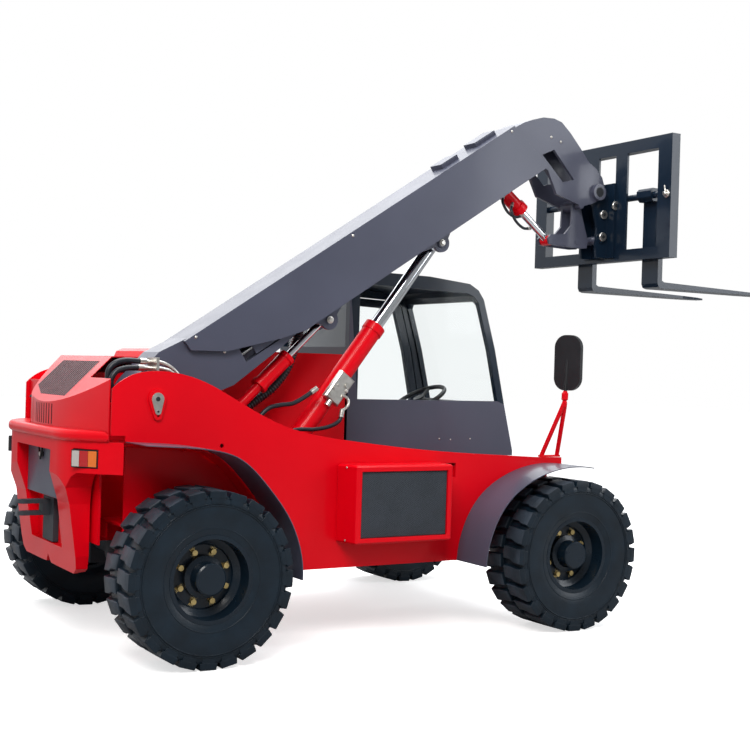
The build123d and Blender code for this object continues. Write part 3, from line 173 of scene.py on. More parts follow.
makeStudio(studio)
makeLamps(lamps)
print("stage: studio")

# columns: base colour, roughness, metallic, coat, patch scale, patch strength, grain scale, grain height,
# edge radius in metres, and reflection where it isn't 0.4
finishes = {
    "redPaint": ((0.70, 0.0002, 0.0075), 0.33, 0.0, 0.12, 1.4, 0.05, 260.0, 0.0004, 0.004, 0.12),
    "hoodPaint": ((0.66, 0.0002, 0.0075), 0.33, 0.0, 0.25, 1.4, 0.05, 260.0, 0.0002, 0.0012, 0.3),
    "slatePaint": ((0.066, 0.071, 0.106), 0.36, 0.0, 0.20, 2.0, 0.07, 320.0, 0.0005, 0.003, 0.3),
    "navyPaint": ((0.0055, 0.0145, 0.0300), 0.30, 0.0, 0.35, 2.0, 0.10, 300.0, 0.0005, 0.003, 0.18),
    "castPaint": ((0.035, 0.040, 0.048), 0.55, 0.0, 0.0, 5.0, 0.15, 90.0, 0.002, 0.004, 0.2),
    "rimPaint": ((0.0050, 0.0120, 0.0210), 0.28, 0.0, 0.20, 4.0, 0.12, 200.0, 0.0005, 0.002, 0.22),
    "zincSteel": ((0.62, 0.60, 0.56), 0.30, 0.95, 0.0, 30.0, 0.10, 200.0, 0.0004, 0.001),
    "zincYellow": ((0.62, 0.47, 0.20), 0.34, 0.9, 0.0, 30.0, 0.15, 200.0, 0.0004, 0.001),
    "chromeRod": ((0.84, 0.86, 0.89), 0.08, 1.0, 0.0, 10.0, 0.03, 60.0, 0.0001, 0.001),
    "blackPlastic": ((0.014, 0.015, 0.018), 0.42, 0.0, 0.0, 10.0, 0.10, 500.0, 0.0006, 0.002),
    "hoseRubber": ((0.010, 0.013, 0.019), 0.36, 0.0, 0.0, 20.0, 0.15, 400.0, 0.0008, 0.001),
    "tyreRubber": ((0.0050, 0.0125, 0.0215), 0.36, 0.0, 0.0, 8.0, 0.22, 180.0, 0.0015, 0.003, 0.30),
    # lighter tread tops: part dust, part painted sky light
    "treadDustAndSkyLight": ((0.030, 0.040, 0.055), 0.50, 0.0, 0.0, 8.0, 0.30, 180.0, 0.0015, 0.003, 0.30),
    "seatVinyl": ((0.010, 0.015, 0.030), 0.38, 0.0, 0.0, 12.0, 0.12, 420.0, 0.001, 0.002),
    "meshPaint": ((0.060, 0.072, 0.090), 0.5, 0.0, 0.0, 8.0, 0.10, 300.0, 0.0005, 0.0005),
    "grilleBrown": ((0.115, 0.042, 0.050), 0.45, 0.0, 0.0, 6.0, 0.10, 100.0, 0.0003, 0.0005),
    # near-black painted shade: slot walls, holes, sockets and the dark insides of the bay and the cooler box
    "paintedShadeBlack": ((0.012, 0.014, 0.018), 0.8, 0.0, 0.0, 6.0, 0.10, 100.0, 0.0005, 0.001),
}

# what the finishes share: how the patches spread in colour and gloss, and how fine the noises are
finishForm = {"coatRoughness": 0.10, "patchDetail": 6, "darker": 1.6, "ramp": (0.3, 0.7), "wearScale": 3.1,
              "wearDetail": 8, "wearSpread": (0.8, 1.25), "grainDetail": 2, "bumpStrength": 0.4, "bevelSamples": 3}


def addNoise(tree, place, scale, detail):
    noise = addNode(tree, "ShaderNodeTexNoise", {"Scale": scale, "Detail": detail})
    link(tree, place, "Object", noise, "Vector")
    return noise


def addBump(tree, source, output, strength, distance, shader):
    bump = addNode(tree, "ShaderNodeBump", {"Strength": strength, "Distance": distance})
    link(tree, source, output, bump, "Height")
    link(tree, bump, "Normal", shader, "Normal")
    return bump


def makeFinish(name, colour, roughness, metallic, coat, patchScale, patchAmount, grainScale, grainHeight, edge,
               gloss=0.4):
    material, tree = newMaterial(name)
    form = finishForm
    shader = tree.nodes["Principled BSDF"]
    setInputs(shader, {"Metallic": metallic, "Coat Weight": coat, "Coat Roughness": form["coatRoughness"],
                       "Specular IOR Level": gloss})
    place = addNode(tree, "ShaderNodeTexCoord")
    patches = addNoise(tree, place, patchScale, form["patchDetail"])
    ramp = addNode(tree, "ShaderNodeValToRGB")
    dark, light = ramp.color_ramp.elements[0], ramp.color_ramp.elements[1]
    dark.color = [c * (1 - patchAmount * form["darker"]) for c in colour] + [1]
    light.color = [min(1, c * (1 + patchAmount)) for c in colour] + [1]
    dark.position, light.position = form["ramp"]
    link(tree, patches, "Fac", ramp, "Fac")
    link(tree, ramp, "Color", shader, "Base Color")
    wear = addNoise(tree, place, patchScale * form["wearScale"], form["wearDetail"])
    low, high = form["wearSpread"]
    spread = addNode(tree, "ShaderNodeMapRange", {"To Min": roughness * low, "To Max": min(1.0, roughness * high)})
    link(tree, wear, "Fac", spread, "Value")
    link(tree, spread, "Result", shader, "Roughness")
    grain = addNoise(tree, place, grainScale, form["grainDetail"])
    rounding = addNode(tree, "ShaderNodeBevel", {"Radius": edge})
    rounding.samples = form["bevelSamples"]
    bump = addBump(tree, grain, "Fac", form["bumpStrength"], grainHeight, shader)
    link(tree, rounding, "Normal", bump, "Normal")
    return material


materials = {name: makeFinish(name, *values) for name, values in finishes.items()}

glass = {"tint": (0.98, 0.99, 0.99, 1), "roughness": 0.02, "refraction": 1.12}
lenses = {"lensClear": (0.45, 0.42, 0.40, 1), "lensRed": (0.42, 0.012, 0.014, 1), "lensAmber": (0.70, 0.16, 0.02, 1)}
lensForm = {"roughness": 0.12, "coat": 0.6, "cells": 130.0, "bumpStrength": 0.5, "bumpHeight": 0.002}


def makeGlass(name, settings):
    material, tree = newMaterial(name)
    tree.nodes.clear()
    output = addNode(tree, "ShaderNodeOutputMaterial")
    mix = addNode(tree, "ShaderNodeMixShader")
    clear = addNode(tree, "ShaderNodeBsdfTransparent", {"Color": settings["tint"]})
    gloss = addNode(tree, "ShaderNodeBsdfGlossy", {"Roughness": settings["roughness"]})
    edge = addNode(tree, "ShaderNodeFresnel", {"IOR": settings["refraction"]})
    link(tree, edge, 0, mix, "Fac")
    link(tree, clear, 0, mix, 1)
    link(tree, gloss, 0, mix, 2)
    link(tree, mix, 0, output, "Surface")
    return material


def makeLens(name, colour, settings):
    material, tree = newMaterial(name)
    shader = tree.nodes["Principled BSDF"]
    setInputs(shader, {"Base Color": colour, "Roughness": settings["roughness"], "Coat Weight": settings["coat"]})
    place = addNode(tree, "ShaderNodeTexCoord")
    cells = addNode(tree, "ShaderNodeTexVoronoi", {"Scale": settings["cells"]})
    link(tree, place, "Object", cells, "Vector")
    addBump(tree, cells, "Distance", settings["bumpStrength"], settings["bumpHeight"], shader)
    return material


materials["windowGlass"] = makeGlass("windowGlass", glass)
for lens, colour in lenses.items():
    materials[lens] = makeLens(lens, colour, lensForm)
print("stage: finishes")

nodeFinish = {
    "redPaint": ["side_plate_right", "side_plate_left", "chassis_frame", "rear_bumper", "left_cover",
                 "cooler_box", "lift_barrel", "level_barrel", "tilt_barrel"],
    "slatePaint": ["fenders_rear", "fenders_front", "rear_panel", "boom_outer", "boom_inner", "tilt_lever",
                   "tilt_link"],
    "navyPaint": ["cab_shell", "cab_door", "coupler", "carriage", "fork_right", "fork_left"],
    "castPaint": ["axle_rear", "axle_front", "engine_block", "tow_hitch"],
    "zincSteel": ["tie_rod_rear", "tie_rod_front", "rear_pipes", "valve_block"],
    "chromeRod": ["lift_rod", "level_rod", "tilt_rod"],
    "hoseRubber": ["rear_hoses", "boom_conduit"],
    "blackPlastic": ["steering_column", "mirror", "tail_lamps"],
    "hoodPaint": ["engine_hood"],
    "meshPaint": ["cooler_mesh"],
    "windowGlass": ["cab_glass", "door_glass"],
    "seatVinyl": ["seat"],
}
wheelPlaces = [axle + "_" + side for axle in ("rear", "front") for side in ("right", "left")]
nodeFinish["castPaint"] += ["knuckle_" + place for place in wheelPlaces]
nodeFinish["rimPaint"] = ["rim_" + place for place in wheelPlaces]
nodeFinish["tyreRubber"] = ["tyre_" + place for place in wheelPlaces]


def setMaterial(thing, name):
    thing.data.materials.clear()
    thing.data.materials.append(materials[name])


for finish, members in nodeFinish.items():
    for member in members:
        setMaterial(nodes[member], finish)
print("stage: solids")

# drawings count millimetres from the rear axle, as the solids' tables do
originX = -1805


def at(x, y, z):
    return Vector(((x + originX) / 1000, y / 1000, z / 1000))


# the faces of a box whose corners count through x, then y, then z
boxFaces = [(0, 1, 3, 2), (4, 6, 7, 5), (0, 4, 5, 1), (2, 3, 7, 6), (0, 2, 6, 4), (1, 5, 7, 3)]


# the faces between rings of points that follow each other, with both ends closed
def tubeFaces(rings, segments):
    faces = []
    for ring in range(rings - 1):
        for n in range(segments):
            a = ring * segments + n
            b = ring * segments + (n + 1) % segments
            faces.append((a, b, b + segments, a + segments))
    faces.append(tuple(range(segments - 1, -1, -1)))
    faces.append(tuple(range((rings - 1) * segments, rings * segments)))
    return faces


# collects closed forms, each with a finish, into one mesh; lengths are metres
class Shape:
    def __init__(self, *finishNames):
        self.mesh = bmesh.new()
        self.finishNames = finishNames

    def keep(self, corners, faces, finish=0, smooth=True):
        made = [self.mesh.verts.new(c) for c in corners]
        for face in faces:
            built = self.mesh.faces.new([made[i] for i in face])
            built.material_index = finish
            built.smooth = smooth

    def box(self, low, high, finish=0, turn=None):
        turn = turn or Matrix.Identity(4)
        corners = [turn @ Vector((x, y, z)) for x in (low[0], high[0]) for y in (low[1], high[1])
                   for z in (low[2], high[2])]
        self.keep(corners, boxFaces, finish, False)

    # solid of revolution from (radius, along) pairs, along a direction from a place
    def turned(self, profile, place, axis, finish=0, segments=24):
        axis = Vector(axis).normalized()
        side = axis.orthogonal().normalized()
        up = axis.cross(side)
        corners = []
        for radius, along in profile:
            for n in range(segments):
                angle = 2 * pi * n / segments
                corners.append(Vector(place) + axis * along + (side * math.cos(angle) + up * math.sin(angle)) * radius)
        self.keep(corners, tubeFaces(len(profile), segments), finish)

    def rod(self, first, last, radius, finish=0, segments=20, edge=0.0):
        first, last = Vector(first), Vector(last)
        length = (last - first).length
        edge = edge or min(radius, length) * 0.12
        self.turned([(radius - edge, 0), (radius, edge), (radius, length - edge), (radius - edge, length)],
                    first, last - first, finish, segments)

    def hexagon(self, place, axis, radius, height, finish=0):
        self.turned([(radius, 0), (radius, height * 0.85), (radius * 0.86, height)], place, axis, finish, 6)

    # flat form from (x, z) corners between two heights along y
    def plate(self, outline, low, high, finish=0):
        count = len(outline)
        area = sum(a[0] * b[1] - b[0] * a[1] for a, b in zip(outline, outline[1:] + outline[:1]))
        if area < 0:
            outline = outline[::-1]
        corners = [Vector((x, y, z)) for y in (low, high) for x, z in outline]
        faces = [tuple(range(count)), tuple(range(2 * count - 1, count - 1, -1))]
        faces += [(i, i + count, (i + 1) % count + count, (i + 1) % count) for i in range(count)]
        self.keep(corners, faces, finish, False)

    # round tube along a smooth line of points, with its ends closed
    def tube(self, route, radius, finish=0, segments=14):
        rings = frames(route)
        corners = []
        for place, side, up in rings:
            for n in range(segments):
                angle = 2 * pi * n / segments
                corners.append(place + (side * math.cos(angle) + up * math.sin(angle)) * radius)
        self.keep(corners, tubeFaces(len(rings), segments), finish)

    def bevel(self, width, angle=40, segments=2):
        sharp = [e for e in self.mesh.edges if len(e.link_faces) == 2 and e.calc_face_angle(0) > math.radians(angle)]
        bmesh.ops.bevel(self.mesh, geom=sharp, offset=width, segments=segments, affect="EDGES", profile=0.6,
                        clamp_overlap=True)

    def make(self, name, body, replaced=(), smoothAngle=38):
        bmesh.ops.recalc_face_normals(self.mesh, faces=self.mesh.faces)
        mesh = bpy.data.meshes.new(name)
        self.mesh.to_mesh(mesh)
        self.mesh.free()
        for finish in self.finishNames:
            mesh.materials.append(materials[finish])
        mesh.shade_smooth()
        mesh.set_sharp_from_angle(angle=math.radians(smoothAngle))
        thing = addObject(name, mesh)
        if body:
            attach(thing, body)
        if replaced:
            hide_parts(*replaced)
        return thing


# smooth line through the stops, with even steps
def curveThrough(stops, step=0.012):
    points = [Vector(s) for s in stops]
    padded = [points[0] * 2 - points[1]] + points + [points[-1] * 2 - points[-2]]
    line = []
    for a, b, c, d in zip(padded, padded[1:], padded[2:], padded[3:]):
        count = max(2, int((c - b).length / step))
        for n in range(count):
            t = n / count
            line.append(0.5 * ((2 * b) + (c - a) * t + (2 * a - 5 * b + 4 * c - d) * t * t
                               + (3 * b - a - 3 * c + d) * t ** 3))
    line.append(points[-1])
    return line


# place, side and up of each point on a line, with no twist between them
def frames(route):
    result = []
    side = None
    for n, place in enumerate(route):
        way = (route[min(n + 1, len(route) - 1)] - route[max(n - 1, 0)]).normalized()
        side = way.orthogonal() if side is None else side - way * side.dot(way)
        side = side.normalized()
        result.append((place, side, way.cross(side)))
    return result


def makeTree(name, sockets):
    tree = bpy.data.node_groups.new(name, "GeometryNodeTree")
    for label, kind in sockets:
        tree.interface.new_socket(label, in_out="INPUT", socket_type="NodeSocket" + kind)
    tree.interface.new_socket("Geometry", in_out="OUTPUT", socket_type="NodeSocketGeometry")
    return tree, addNode(tree, "NodeGroupInput"), addNode(tree, "NodeGroupOutput")


def addMath(tree, operation, constants={}):
    node = addNode(tree, "ShaderNodeMath", constants)
    node.operation = operation
    return node


# real instances with the finish given, as a tree's last two steps
def endTree(tree, given, last, result):
    solid = addNode(tree, "GeometryNodeRealizeInstances")
    paint = addNode(tree, "GeometryNodeSetMaterial")
    link(tree, last, 0, solid, 0)
    link(tree, solid, 0, paint, "Geometry")
    link(tree, given, "Finish", paint, "Material")
    link(tree, paint, 0, result, 0)


# repeats a shape round the Y axis, Count times from Start in radians
def makeRingTree():
    tree, given, result = makeTree("ringArray", [("Shape", "Geometry"), ("Count", "Int"), ("Start", "Float"),
                                                 ("Finish", "Material")])
    points = addNode(tree, "GeometryNodePoints")
    number = addNode(tree, "GeometryNodeInputIndex")
    step = addMath(tree, "DIVIDE", {0: 2 * pi})
    angle = addMath(tree, "MULTIPLY_ADD")
    turn = addNode(tree, "ShaderNodeCombineXYZ")
    euler = addNode(tree, "FunctionNodeEulerToRotation")
    copies = addNode(tree, "GeometryNodeInstanceOnPoints")
    for ends in ((given, "Count", points, "Count"), (given, "Count", step, 1), (number, 0, angle, 0),
                 (step, 0, angle, 1), (given, "Start", angle, 2), (angle, 0, turn, "Y"), (turn, 0, euler, 0),
                 (points, 0, copies, "Points"), (given, "Shape", copies, "Instance"), (euler, 0, copies, "Rotation")):
        link(tree, *ends)
    endTree(tree, given, copies, result)
    return tree


# corrugated tube along the edges given: its radius rises and falls once each Pitch
def makeRibTree():
    tree, given, result = makeTree("ribbedTube", [("Line", "Geometry"), ("Radius", "Float"), ("Rise", "Float"),
                                                  ("Pitch", "Float"), ("Sides", "Int"), ("Finish", "Material")])
    ringsEachPitch = 6
    path = addNode(tree, "GeometryNodeMeshToCurve")
    even = addNode(tree, "GeometryNodeResampleCurve")
    even.mode = "LENGTH"
    part = addMath(tree, "DIVIDE", {1: ringsEachPitch})
    along = addNode(tree, "GeometryNodeSplineParameter")
    phase = addMath(tree, "DIVIDE")
    circle = addMath(tree, "MULTIPLY", {1: 2 * pi})
    wave = addMath(tree, "SINE")
    size = addMath(tree, "MULTIPLY_ADD")
    ring = addNode(tree, "GeometryNodeCurvePrimitiveCircle", {"Radius": 1.0})
    tube = addNode(tree, "GeometryNodeCurveToMesh", {"Fill Caps": True})
    for ends in ((given, "Line", path, 0), (path, 0, even, "Curve"), (given, "Pitch", part, 0),
                 (part, 0, even, "Length"), (along, "Length", phase, 0), (given, "Pitch", phase, 1),
                 (phase, 0, circle, 0), (circle, 0, wave, 0), (wave, 0, size, 0), (given, "Rise", size, 1),
                 (given, "Radius", size, 2), (given, "Sides", ring, "Resolution"),
                 (even, 0, tube, "Curve"), (ring, 0, tube, "Profile Curve"), (size, 0, tube, "Scale")):
        link(tree, *ends)
    endTree(tree, given, tube, result)
    return tree


ringTree = makeRingTree()
ribTree = makeRibTree()


# the mesh that a node tree makes from an object, with named inputs
def grown(thing, tree, values):
    modifier = thing.modifiers.new(tree.name, "NODES")
    modifier.node_group = tree
    for item in tree.interface.items_tree:
        if item.item_type == "SOCKET" and item.in_out == "INPUT" and item.name in values:
            modifier[item.identifier] = values[item.name]
    graph = bpy.context.evaluated_depsgraph_get()
    mesh = bpy.data.meshes.new_from_object(thing.evaluated_get(graph), depsgraph=graph)
    thing.modifiers.remove(modifier)
    return mesh


# where the wheels stand, in millimetres, and how their bolts lie
wheelForm = {"base": 2424, "side": 958, "radius": 460, "bolts": 8, "boltCircle": 137.5, "boltHead": 21, "boltSpan": 12}


# the x of a wheel's axle, and the side that it stands on
def nearWheel(place):
    axle, side = place.split("_")
    return 0 if axle == "rear" else wheelForm["base"], -1 if side == "right" else 1


# the tyre's form, in millimetres, as the solid's: two rows of lugs, half a step apart; a lug's plan is
# given as x and the y from its low end, its middle or its high end, and its rows as radius, shrink and reach
tyres = {"lugs": 24, "centre": (-44.0, 457.9), "root": 436.0, "halfWidth": 175.5, "inner": 12.0,
         "topInset": 0.6, "sideInset": 1.0, "segments": 96, "sharp": 34, "bevelAbove": 30,
         "finish": "tyreRubber", "dustAndLightFinish": "treadDustAndSkyLight", "dustAndLightAbove": 19,
         "plan": [(-46, "high", 0), (-41, "middle", 18), (-27, "middle", -12), (-24, "low", 0), (8, "low", 0),
                  (52, "low", 0), (50, "middle", 4), (45, "middle", 26), (45, "high", 0)],
         "turnedIn": 20, "deep": 12, "flare": 3.0, "rows": [(-5, 0.6, -1.0), (-1.6, 2.0, -3.2), (0, 4.4, -6.0)],
         "foot": [(-43, 0), (42, 0), (34, -1), (-35, -1)], "footEnd": 0.396, "footTop": 3,
         "footInner": 26, "footOut": 0.4, "footLean": 0.001, "edge": 0.0012,
         "ribForm": (-3, -2.2, 2.2, 3), "ribDepth": -4,
         "ribs": [(383, 171.5, 3.9), (393, 171.5, 3.7), (268, 162.6, 2.6)],
         "carcass": [(222, -128), (230, -150), (262, -163), (300, -169.0), (350, -171.4), (378, -171.5), (382, -171.5),
                     (392, -171.5), (405, -172.2), (425, -164), (434, -150), (434.5, -60), (433, -8), (433, 8),
                     (434.5, 60), (434, 150), (425, 164), (405, 172.2), (392, 171.5), (382, 171.5), (378, 171.5),
                     (350, 171.4), (300, 169.0), (262, 163), (230, 150), (222, 128)]}


# one lug, bevelled, with the shoulder foot of a real tread
def lugShape(settings, side):
    shape = Shape(settings["finish"])
    top = math.hypot(*settings["centre"]) - settings["topInset"]
    half = settings["halfWidth"] - settings["sideInset"]
    ends = {"low": settings["inner"] + 1, "high": half}
    ends["middle"] = 0.5 * (ends["low"] + ends["high"])
    plan = [(x, ends[end] + more) for x, end, more in settings["plan"]]
    centreX = sum(p[0] for p in plan) / len(plan)
    corners = []
    rows = [(settings["root"] - settings["deep"], -settings["flare"], 0.0)]
    rows += [(top + lower, shrink, reach) for lower, shrink, reach in settings["rows"]]
    for radius, shrink, reach in rows:
        for x, y in plan:
            away = y - ends["middle"]
            y2 = y + (reach if away > settings["turnedIn"] else (-reach if away < -settings["turnedIn"] else 0))
            x2 = x + (shrink if x < centreX else -shrink)
            corners.append(Vector((x2 / 1000, side * y2 / 1000,
                                   math.sqrt(max(1.0, radius * radius - x2 * x2)) / 1000)))
    count = len(plan)
    faces = [tuple(range(count)), tuple(range(3 * count, 4 * count))]
    for r in range(3):
        faces += [(r * count + i, r * count + (i + 1) % count, (r + 1) * count + (i + 1) % count, (r + 1) * count + i)
                  for i in range(count)]
    shape.keep(corners, faces, 0, False)
    # the lug runs down over the shoulder, as a tapering foot
    outer = side * (half + settings["footOut"]) / 1000
    inner = side * (half - settings["footInner"]) / 1000
    corners = []
    for y in (outer, inner):
        for x, end in settings["foot"]:
            radius = settings["footEnd"] if end else (top - settings["footTop"]) / 1000
            corners.append(Vector((x / 1000, y if end else y - side * settings["footLean"], radius)))
    shape.keep(corners, [(0, 1, 2, 3), (4, 5, 6, 7), (0, 1, 5, 4), (1, 2, 6, 5), (2, 3, 7, 6), (3, 0, 4, 7)], 0, False)
    shape.bevel(settings["edge"], settings["bevelAbove"], 1)
    return shape.make("lugShape", None)


# closed ring round the Y axis from a closed outline of (radius, y) points
def addRing(shape, outline, segments):
    corners, faces = [], []
    count = len(outline)
    for n in range(segments):
        angle = 2 * pi * n / segments
        corners += [Vector((r * math.sin(angle), y, r * math.cos(angle))) for r, y in outline]
    for n in range(segments):
        a, b = n * count, (n + 1) % segments * count
        faces += [(a + i, b + i, b + (i + 1) % count, a + (i + 1) % count) for i in range(count)]
    shape.keep(corners, faces)


def makeTyre(place, settings):
    axleX, side = nearWheel(place)
    centre = at(axleX, side * wheelForm["side"], wheelForm["radius"])
    step = 2 * pi / settings["lugs"]
    turned = math.atan2(-settings["centre"][0], settings["centre"][1])
    whole = bmesh.new()
    for row, phase in ((1, 0.0), (-1, 0.5)):
        lug = lugShape(settings, row)
        mesh = grown(lug, ringTree, {"Count": settings["lugs"], "Start": -turned + phase * step,
                                     "Finish": materials[settings["finish"]]})
        whole.from_mesh(mesh)
        bpy.data.objects.remove(lug)
    body = Shape(settings["finish"])
    addRing(body, [(r / 1000, y / 1000) for r, y in settings["carcass"]], settings["segments"])
    for radius, lie, rise in settings["ribs"]:
        for sign in (-1, 1):
            heights = (settings["ribDepth"], rise, rise, settings["ribDepth"])
            addRing(body, [((radius + dr) / 1000, sign * (lie + dy) / 1000)
                           for dr, dy in zip(settings["ribForm"], heights)], settings["segments"])
    bmesh.ops.recalc_face_normals(body.mesh, faces=body.mesh.faces)
    carcass = bpy.data.meshes.new("carcass")
    body.mesh.to_mesh(carcass)
    whole.from_mesh(carcass)
    body.mesh.free()
    bmesh.ops.translate(whole, verts=whole.verts, vec=centre)
    mesh = bpy.data.meshes.new("tyreLooks_" + place)
    whole.to_mesh(mesh)
    whole.free()
    mesh.materials.clear()
    mesh.materials.append(materials[settings["finish"]])
    mesh.materials.append(materials[settings["dustAndLightFinish"]])
    # lug faces beyond the root get the lighter finish: part dust, part painted sky light on the tread tops
    for face in mesh.polygons:
        across = math.hypot(face.center.x - centre.x, face.center.z - centre.z)
        face.material_index = int(across > (settings["root"] + settings["dustAndLightAbove"]) / 1000)
    mesh.shade_smooth()
    mesh.set_sharp_from_angle(angle=math.radians(settings["sharp"]))
    tyre = addObject("tyreLooks_" + place, mesh)
    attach(tyre, "wheel_" + place)
    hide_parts("tyre_" + place)


for place in wheelPlaces:
    makeTyre(place, tyres)
print("stage: tyres")

# the corrugated conduit from the boom down to the chassis: stops in millimetres, the rest in metres
conduit = {"stops": [(838, -388, 1815), (839, -388, 1753), (811, -388, 1669), (785, -388, 1592), (748, -388, 1521),
                     (673, -388, 1436), (612, -388, 1390), (549, -388, 1347), (468, -388, 1282), (412, -386, 1195),
                     (391, -382, 1120), (390, -380, 1081)], "radius": 0.0285, "rise": 0.0026,
           "pitch": 0.018, "sides": 20, "step": 0.01, "finish": "hoseRubber"}


def makeConduit(settings):
    stops = [at(*stop) for stop in settings["stops"]]
    route = curveThrough(stops, settings["step"])
    path = bpy.data.meshes.new("conduitLine")
    path.from_pydata([tuple(p) for p in route], [(i, i + 1) for i in range(len(route) - 1)], [])
    line = addObject("conduitLine", path)
    mesh = grown(line, ribTree, {"Radius": settings["radius"], "Rise": settings["rise"], "Pitch": settings["pitch"],
                                 "Sides": settings["sides"], "Finish": materials[settings["finish"]]})
    bpy.data.objects.remove(line)
    mesh.shade_smooth()
    thing = addObject("conduit", mesh)
    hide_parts("boom_conduit")
    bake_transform(thing)


makeConduit(conduit)
print("stage: conduit")

# wires of the cooler's screen, in millimetres: two layers at a slant, inside the solid plate's thickness,
# before a dark plate of painted shade for the box's inside, which starts and ends at the two depths
screen = {"pitch": 11.0, "radius": 1.5, "inset": 4, "over": 3, "plate": (1.5, 2.8), "shortest": 10,
          "finish": "meshPaint", "behind": "paintedShadeBlack"}


def makeScreen(settings):
    low3, high3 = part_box("cooler_mesh")
    inset, over, shortest = (settings[name] / 1000 for name in ("inset", "over", "shortest"))
    left, right = low3[0] + inset, high3[0] - inset
    low, high = low3[2] + inset, high3[2] - inset
    y = 0.5 * (low3[1] + high3[1])
    near, far = (y + depth / 1000 for depth in settings["plate"])
    shape = Shape(settings["finish"], settings["behind"])
    # the dark plate behind the wires is painted shade
    shape.box((left - over, near, low - over), (right + over, far, high + over), 1)
    pitch = settings["pitch"] / 1000
    radius = settings["radius"] / 1000
    span = high - low
    start = left - span
    while start < right:
        a = max(start, left)
        b = min(start + span, right)
        for way in (1, -1):
            if b - a > shortest:
                first, last = (a - start, b - start)
                z1, z2 = (low + first, low + last) if way > 0 else (high - first, high - last)
                shape.turned([(radius, 0), (radius, math.dist((a, z1), (b, z2)))], (a, y + way * radius * 0.4, z1),
                             (b - a, 0, z2 - z1), 0, 6)
        start += pitch
    shape.make("screenWires", "root", ["cooler_mesh"])


makeScreen(screen)
print("stage: screen")


# gives a finish to the faces of a solid whose centre, in drawing millimetres, and normal pass the test
def paintFaces(name, finish, test):
    mesh = nodes[name].data
    place = nodes[name].matrix_world
    turn = place.to_3x3()
    if finish not in [m.name for m in mesh.materials]:
        mesh.materials.append(materials[finish])
    slot = [m.name for m in mesh.materials].index(finish)
    count = 0
    for face in mesh.polygons:
        centre = place @ face.center
        if test(centre.x * 1000 - originX, centre.y * 1000, centre.z * 1000, turn @ face.normal):
            face.material_index = slot
            count += 1
    print("painted", name, finish, count)


# true on the heads of the wheel's bolts
def onBolts(place):
    axleX, side = nearWheel(place)
    form = wheelForm
    bolts = [(axleX + form["boltCircle"] * math.sin((k + 0.5) * 2 * pi / form["bolts"]),
              form["radius"] + form["boltCircle"] * math.cos((k + 0.5) * 2 * pi / form["bolts"]))
             for k in range(form["bolts"])]
    return lambda x, y, z, n: side * y > form["side"] - form["boltSpan"] and any(
        math.hypot(x - boltX, z - boltZ) < form["boltHead"] for boltX, boltZ in bolts)


for place in wheelPlaces:
    paintFaces("rim_" + place, "zincYellow", onBolts(place))

# in millimetres: the hood's slope, whose z is x plus its rise, and the slots in its back
hoodSlots = {"x": (-570, -330), "half": 310, "rise": 1914, "skin": 0.5, "backX": -520, "back": (1209, 1323)}


# true on the walls of the hood's slots, which get painted shade
def inSlot(x, y, z, normal):
    form = hoodSlots
    slope = (form["x"][0] < x < form["x"][1] and abs(normal.x + normal.z) < 0.02 and abs(y) < form["half"]
             and z < x + form["rise"] - form["skin"])
    back = x < form["backX"] and form["back"][0] < z < form["back"][1] and abs(normal.y) > 0.7
    return slope or back


# where the mirror's bars end and the cab's lower panel ends, and the eye of the tilt rod, in millimetres
painted = {"barsBelow": 1380, "panelBelow": 1462, "rodEye": (2641, 2453, 52)}


def onRodEye(x, y, z, normal):
    eyeX, eyeZ, radius = painted["rodEye"]
    return math.hypot(x - eyeX, z - eyeZ) < radius


paintFaces("mirror", "redPaint", lambda x, y, z, n: z < painted["barsBelow"])
paintFaces("cab_shell", "slatePaint", lambda x, y, z, n: z < painted["panelBelow"] and n.y < -0.7)
# the slots' walls get painted shade
paintFaces("engine_hood", "paintedShadeBlack", inSlot)
paintFaces("tilt_rod", "redPaint", onRodEye)
# the whole engine block gets painted shade, so that the bay reads dark through the hood's slots
paintFaces("engine_block", "paintedShadeBlack", lambda x, y, z, n: True)
print("stage: painted faces")

# rear lamps, in millimetres: each lens from the middle of the vehicle outward, with its share of the width,
# and the depths from the lamp's front at which the case and a lens start and a lens ends
rearLamps = {"centre": (-524, 640, 1052), "size": (40, 150, 92), "turn": 45, "edge": 5.0, "gap": 0.8,
             "case": 6, "lens": (0.5, 9), "bevel": 2.5, "finish": "blackPlastic",
             "lenses": [("lensClear", 0.30), ("lensRed", 0.36), ("lensAmber", 0.34)]}


def makeRearLamps(settings):
    shape = Shape(settings["finish"], *[name for name, share in settings["lenses"]])
    deep, wide, tall = (v / 1000 for v in settings["size"])
    edge, gap, case, bevel = (settings[name] / 1000 for name in ("edge", "gap", "case", "bevel"))
    near, far = (-deep / 2 + depth / 1000 for depth in settings["lens"])
    bend = math.radians(settings["turn"])
    for side in (-1, 1):
        x, y, z = settings["centre"]
        turn = Matrix.Translation(at(x, side * y, z)) @ Matrix.Rotation(-side * bend, 4, "Z")
        shape.box((-deep / 2 + case, -wide / 2, -tall / 2), (deep / 2, wide / 2, tall / 2), 0, turn)
        start = -wide / 2 + edge
        room = wide - 2 * edge
        for number, (name, share) in enumerate(settings["lenses"]):
            end = start + room * share
            low, high = (start, end) if side > 0 else (-end, -start)
            shape.box((near, low + gap, -tall / 2 + edge), (far, high - gap, tall / 2 - edge), number + 1, turn)
            start = end
    shape.bevel(bevel)
    shape.make("rearLampsLooks", "root", ["tail_lamps"])


makeRearLamps(rearLamps)
print("stage: rear lamps")

# the seat as a filled cover: the pressure inside, then metres, then the steps that it fills in
seatForm = {"pressure": 4.0, "voxel": 0.006, "shrink": 0.010, "frames": 20, "finish": "seatVinyl", "fill": 0.75}


def apply(modifier):
    bpy.ops.object.modifier_apply(modifier=modifier.name)


